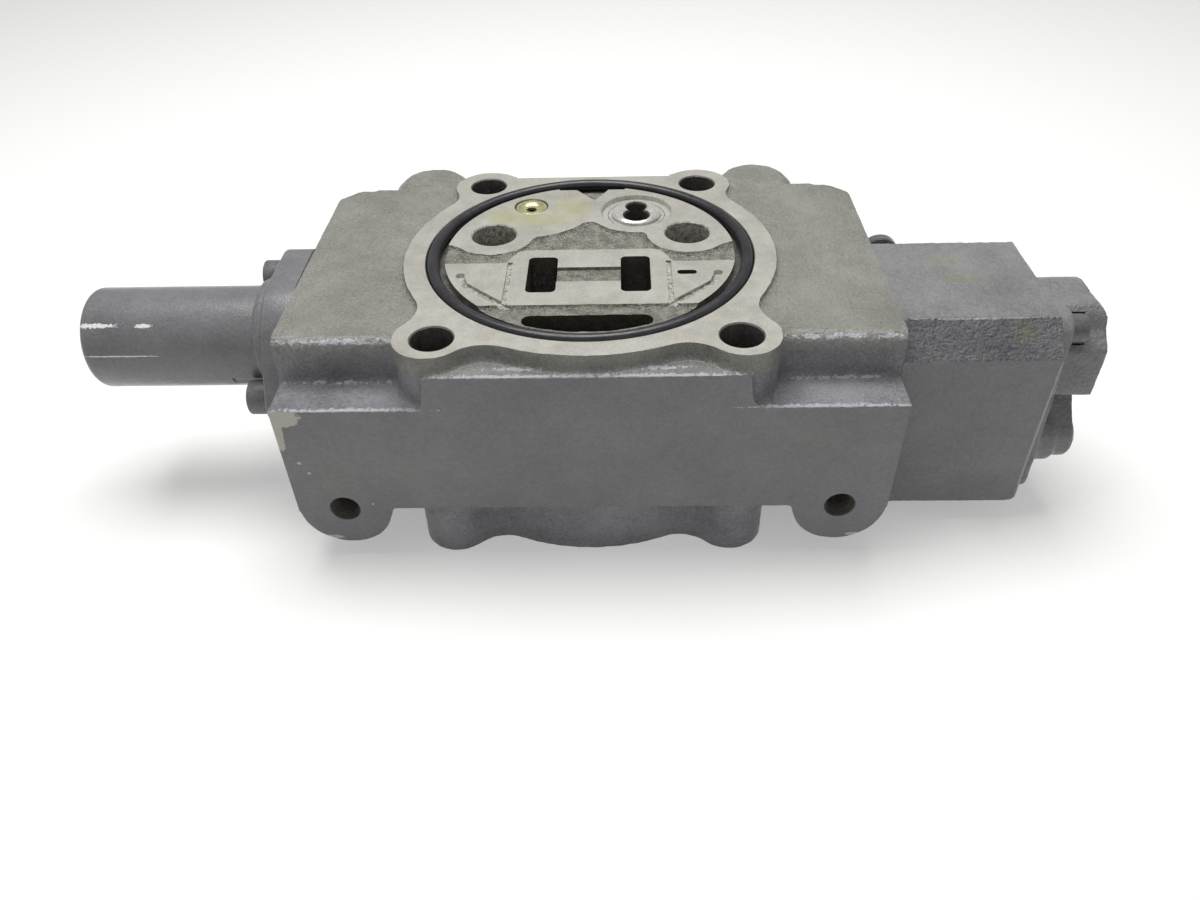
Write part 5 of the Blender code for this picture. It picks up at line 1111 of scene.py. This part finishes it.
@dataclass
class EndCover:
    """The cast cover beyond the block: thin eared flange, spring chamber, selector lobe, four screws."""

    face: float = 201.6
    flange: float = 5.5
    end: float = 226.6
    round_r: float = 22.7
    lobe_r: float = 11.0
    collar_r: float = 13.0
    web_r: float = 6.0
    ear_r: float = 9.5
    low_ear: Flat = (-55.5, 22.5)
    screws: tuple[Flat, ...] = ((-50.5, 97.0), (6.2, 62.0), (6.2, 23.5), (-42.0, 20.5))

    def build(self) -> None:
        """Build and dress the cover and its screws."""
        top, back_high, back_low, low = ((spot, self.ear_r) for spot in (*self.screws[:3], self.low_ear))
        flange = belt([top, low, back_low, back_high])
        piece = outlined("end_cover_casting", flange, self.face - 1.5, self.face + self.flange, Axis.X)
        y, z = SPOOL_AXIS
        cheek = [(-43.5, 105.0), (-46.5, 102.0), (-49.0, 95.5), (-52.5, 92.5), (-56.5, 88.5), (-56.5, 65.0),
                 (y, z - self.round_r)] + arc(SPOOL_AXIS, self.round_r, -75, 105)
        join(piece, outlined("cheek", cheek, self.face + 1.0, self.end, Axis.X))
        web = belt([(SPOOL_AXIS, self.web_r), (SELECTOR_AXIS, self.lobe_r)])
        join(piece, outlined("web", web, self.face + 1.4, self.end - 3.0, Axis.X))
        steps = [(0.0, 1.0), (self.collar_r, 1.0), (self.collar_r, 13.4), (self.collar_r - 1.0, 14.4),
                 (self.lobe_r, 14.4), (self.lobe_r, 20.6), (self.lobe_r - 1.2, 22.8),
                 (self.lobe_r - 3.4, 24.0), (0.0, 24.0)]
        join(piece, turned("lobe", steps, (self.face, *SELECTOR_AXIS), Axis.X))
        bend, crown = 7.0, 105.0
        centre = (self.end - bend, crown - bend)
        nose = arc(centre, bend, 0, 90) + [(centre[0], crown + PAST), (self.end + PAST, crown + PAST),
                                           (self.end + PAST, centre[1])]
        cut(piece, outlined("nose", nose, -80.0, 40.0, Axis.Y))
        cast(piece, BLOCK_ENAMEL, 1.0, 3, 0.45, 3.2)
        mill(piece, Axis.X, self.face, -1, MILLED_ENAMEL)
        cut(piece, rod("chamber", 17.9, (self.face - PAST, y, z), 25.0, Axis.X), BORED_IRON)
        cut(piece, rod("selector_room", SELECTOR_ROOM_R, (self.face - PAST, *SELECTOR_AXIS), 25.0, Axis.X),
            BORED_IRON)
        screw = Screw(6.5, 4.0, 6.0, 84.8)
        for number, (across, up) in enumerate(self.screws, 1):
            cut(piece, rod("spot", 7.3, (self.face + self.flange, across, up), 9.0, Axis.X), BLOCK_ENAMEL)
            cut(piece, rod("screw_hole", 4.4, (self.face - PAST, across, up), 12.5, Axis.X), BORED_IRON)
            screw.build(f"end_cover_screw_{number}", f"cover_screw_{number}",
                        (self.face + self.flange + 0.3, across, up), 1)
        dress(piece, "end_cover")


@dataclass
class FaceParts:
    """What sits in the sealing face: the big O-ring, the orifice insert and the load-check seat."""

    ring_outer: float = 76.5
    cord: float = 5.5
    top: float = 110.7

    def build(self) -> None:
        """Build and dress the three pieces."""
        low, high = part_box("face_oring")
        put_down()
        bpy.ops.mesh.primitive_torus_add(
            major_segments=192, minor_segments=24, major_radius=(self.ring_outer - self.cord / 2) * MM,
            minor_radius=self.cord / 2 * MM, location=(0.0, 0.0, (low.z + high.z) / 2))
        ring = bpy.context.object
        bpy.ops.object.transform_apply(location=True, rotation=True, scale=True)
        ring.name = "seal_ring"
        paint(ring, NITRILE)
        dress(ring, "face_oring")
        x, y = ValveBody.orifice
        dish = [(2.6, 109.2), (3.4, 109.0), (4.6, 109.3), (5.9, 110.1), (6.5, self.top), (7.6, self.top),
                (8.0, 110.4), (8.0, 107.9), (2.6, 107.9)]
        insert = turned("orifice_dish", dish, (x, y, 0.0), Axis.Z, 64, ring=True)
        paint(insert, YELLOW_ZINC)
        dress(insert, "orifice_insert")
        x, y = ValveBody.check
        seat = turned("check_seat_plug", [(0.0, self.top), (10.9, self.top), (11.4, 110.5), (12.4, 109.7),
                                          (12.4, 108.4), (14.1, 108.4), (14.1, 96.4), (0.0, 96.4)],
                      (x, y, 0.0), Axis.Z, 80)
        paint(seat, TURNED_STEEL)
        for radius, shift in ((4.9, 4.6), (6.2, -4.6)):
            hole = turned("clover", [(0.0, 120.0), (radius + 0.7, 120.0), (radius + 0.7, self.top),
                                     (radius, self.top - 0.7), (radius, 90.0), (0.0, 90.0)],
                          (x, y + shift, 0.0), Axis.Z, 40)
            cut(seat, hole, OIL_PASSAGE)
        dress(seat, "check_seat")


INNER_FINISHES = {
    GROUND_STEEL: ("main_spool", "left_spring_seat", "right_spring_seat", "check_poppet", "selector_spool",
                   "selector_spring_seat"),
    SCREW_ENAMEL: ("left_seat_screw", "right_seat_screw"),
    SPRING_WIRE: ("left_spring", "right_spring", "check_spring", "selector_spring"),
    NITRILE: ("spring_cap_oring", "end_block_oring", "end_cover_oring"),
}


def dress_inner_nodes() -> None:
    """Give every node that stays shown its own finish."""
    for finish, names in INNER_FINISHES.items():
        for name in names:
            paint(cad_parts[name], finish)


@dataclass
class Studio:
    """A pale floor, soft lamps and the camera at the photograph's angle."""

    spot: Place = (14.53, -393.34, 323.47)
    pitch: float = 40.553
    yaw: float = -1.821
    roll: float = 1.699
    lens: float = 27.82
    floor_size: float = 6000.0
    floor_glow: float = 0.34
    sky_light: float = 0.30

    def camera(self) -> None:
        """Make the camera."""
        data = bpy.data.cameras.new("camera")
        data.lens = self.lens
        data.sensor_width = 36.0
        data.clip_start = 0.01
        made = bpy.data.objects.new("camera", data)
        bpy.context.scene.collection.objects.link(made)
        pitch, yaw, roll = (math.radians(turn) for turn in (self.pitch, self.yaw, self.roll))
        ahead = Vector((math.sin(yaw) * math.cos(pitch), math.cos(yaw) * math.cos(pitch), -math.sin(pitch)))
        level = Vector((math.cos(yaw), -math.sin(yaw), 0.0))
        drop = ahead.cross(level)
        right = math.cos(roll) * level + math.sin(roll) * drop
        down = -math.sin(roll) * level + math.cos(roll) * drop
        turn = Matrix((right, -down, -ahead)).transposed()
        made.matrix_world = Matrix.Translation(Vector(self.spot) * MM) @ turn.to_4x4()
        bpy.context.scene.camera = made

    def lamp(self, name: str, spot: Place, size: Flat, power: float) -> None:
        """Make one soft rectangular lamp that points at the object's middle."""
        data = bpy.data.lights.new(name, "AREA")
        data.shape = "RECTANGLE"
        data.size, data.size_y = (side * MM for side in size)
        data.energy = power
        made = bpy.data.objects.new(name, data)
        bpy.context.scene.collection.objects.link(made)
        made.location = Vector(spot) * MM
        made.rotation_euler = (Vector(LAMP_AIM) - Vector(spot)).to_track_quat("-Z", "Y").to_euler()

    def floor(self) -> None:
        """Make the floor, which the camera sees as near white with the object's shadow on it."""
        bpy.ops.object.select_all(action="DESELECT")
        low, _ = CAD_BOX
        bpy.ops.mesh.primitive_plane_add(size=self.floor_size * MM, location=(0.0, 0.0, low.z - 0.2 * MM))
        made = bpy.context.object
        made.name = "floor"
        skin = bpy.data.materials.new("pale_floor")
        skin.use_nodes = True
        tree = skin.node_tree
        tree.nodes.clear()
        path = add_node(tree, "ShaderNodeLightPath")
        seen = any_of(tree, [path.outputs["Is Camera Ray"], path.outputs["Is Glossy Ray"],
                             path.outputs["Is Transmission Ray"]])
        lift = maths(tree, "MULTIPLY", seen, self.floor_glow)
        paper = add_node(tree, "ShaderNodeBsdfDiffuse", None, {"Color": linear("#D6D6D4")})
        glow = add_node(tree, "ShaderNodeEmission", None,
                        {"Color": linear("#FFFFFF"), "Strength": lift})
        both = add_node(tree, "ShaderNodeAddShader", None, {0: paper.outputs[0], 1: glow.outputs[0]})
        add_node(tree, "ShaderNodeOutputMaterial", None, {"Surface": both.outputs[0]})
        made.data.materials.append(skin)

    def sky(self) -> None:
        """Make the world: white where it is seen or mirrored, softer as a light."""
        world = bpy.data.worlds.new("studio")
        bpy.context.scene.world = world
        world.use_nodes = True
        tree = world.node_tree
        tree.nodes.clear()
        path = add_node(tree, "ShaderNodeLightPath")
        seen = any_of(tree, [path.outputs["Is Camera Ray"], path.outputs["Is Transmission Ray"]])
        strength = spread(tree, seen, (0.0, 1.0), (self.sky_light, 1.0))
        air = add_node(tree, "ShaderNodeBackground", None,
                       {"Color": linear("#FFFFFF"), "Strength": strength})
        add_node(tree, "ShaderNodeOutputWorld", None, {"Surface": air.outputs[0]})

    def build(self) -> None:
        """Set the stage."""
        self.camera()
        self.floor()
        self.sky()
        self.lamp("overhead", (-60.0, 200.0, 1150.0), (900.0, 600.0), 13.5)
        self.lamp("front_fill", (150.0, -1100.0, 500.0), (900.0, 500.0), 0.7)
        bpy.context.scene.view_settings.view_transform = "Standard"


def main() -> None:
    """Build the scene's pieces in order."""
    logging.basicConfig(level=logging.INFO, format="%(name)s %(message)s")
    Studio().build()
    ValveBody().build()
    SpringCap().build()
    EndBlock().build()
    EndCover().build()
    FaceParts().build()
    dress_inner_nodes()


if __name__ == "__main__":
    main()
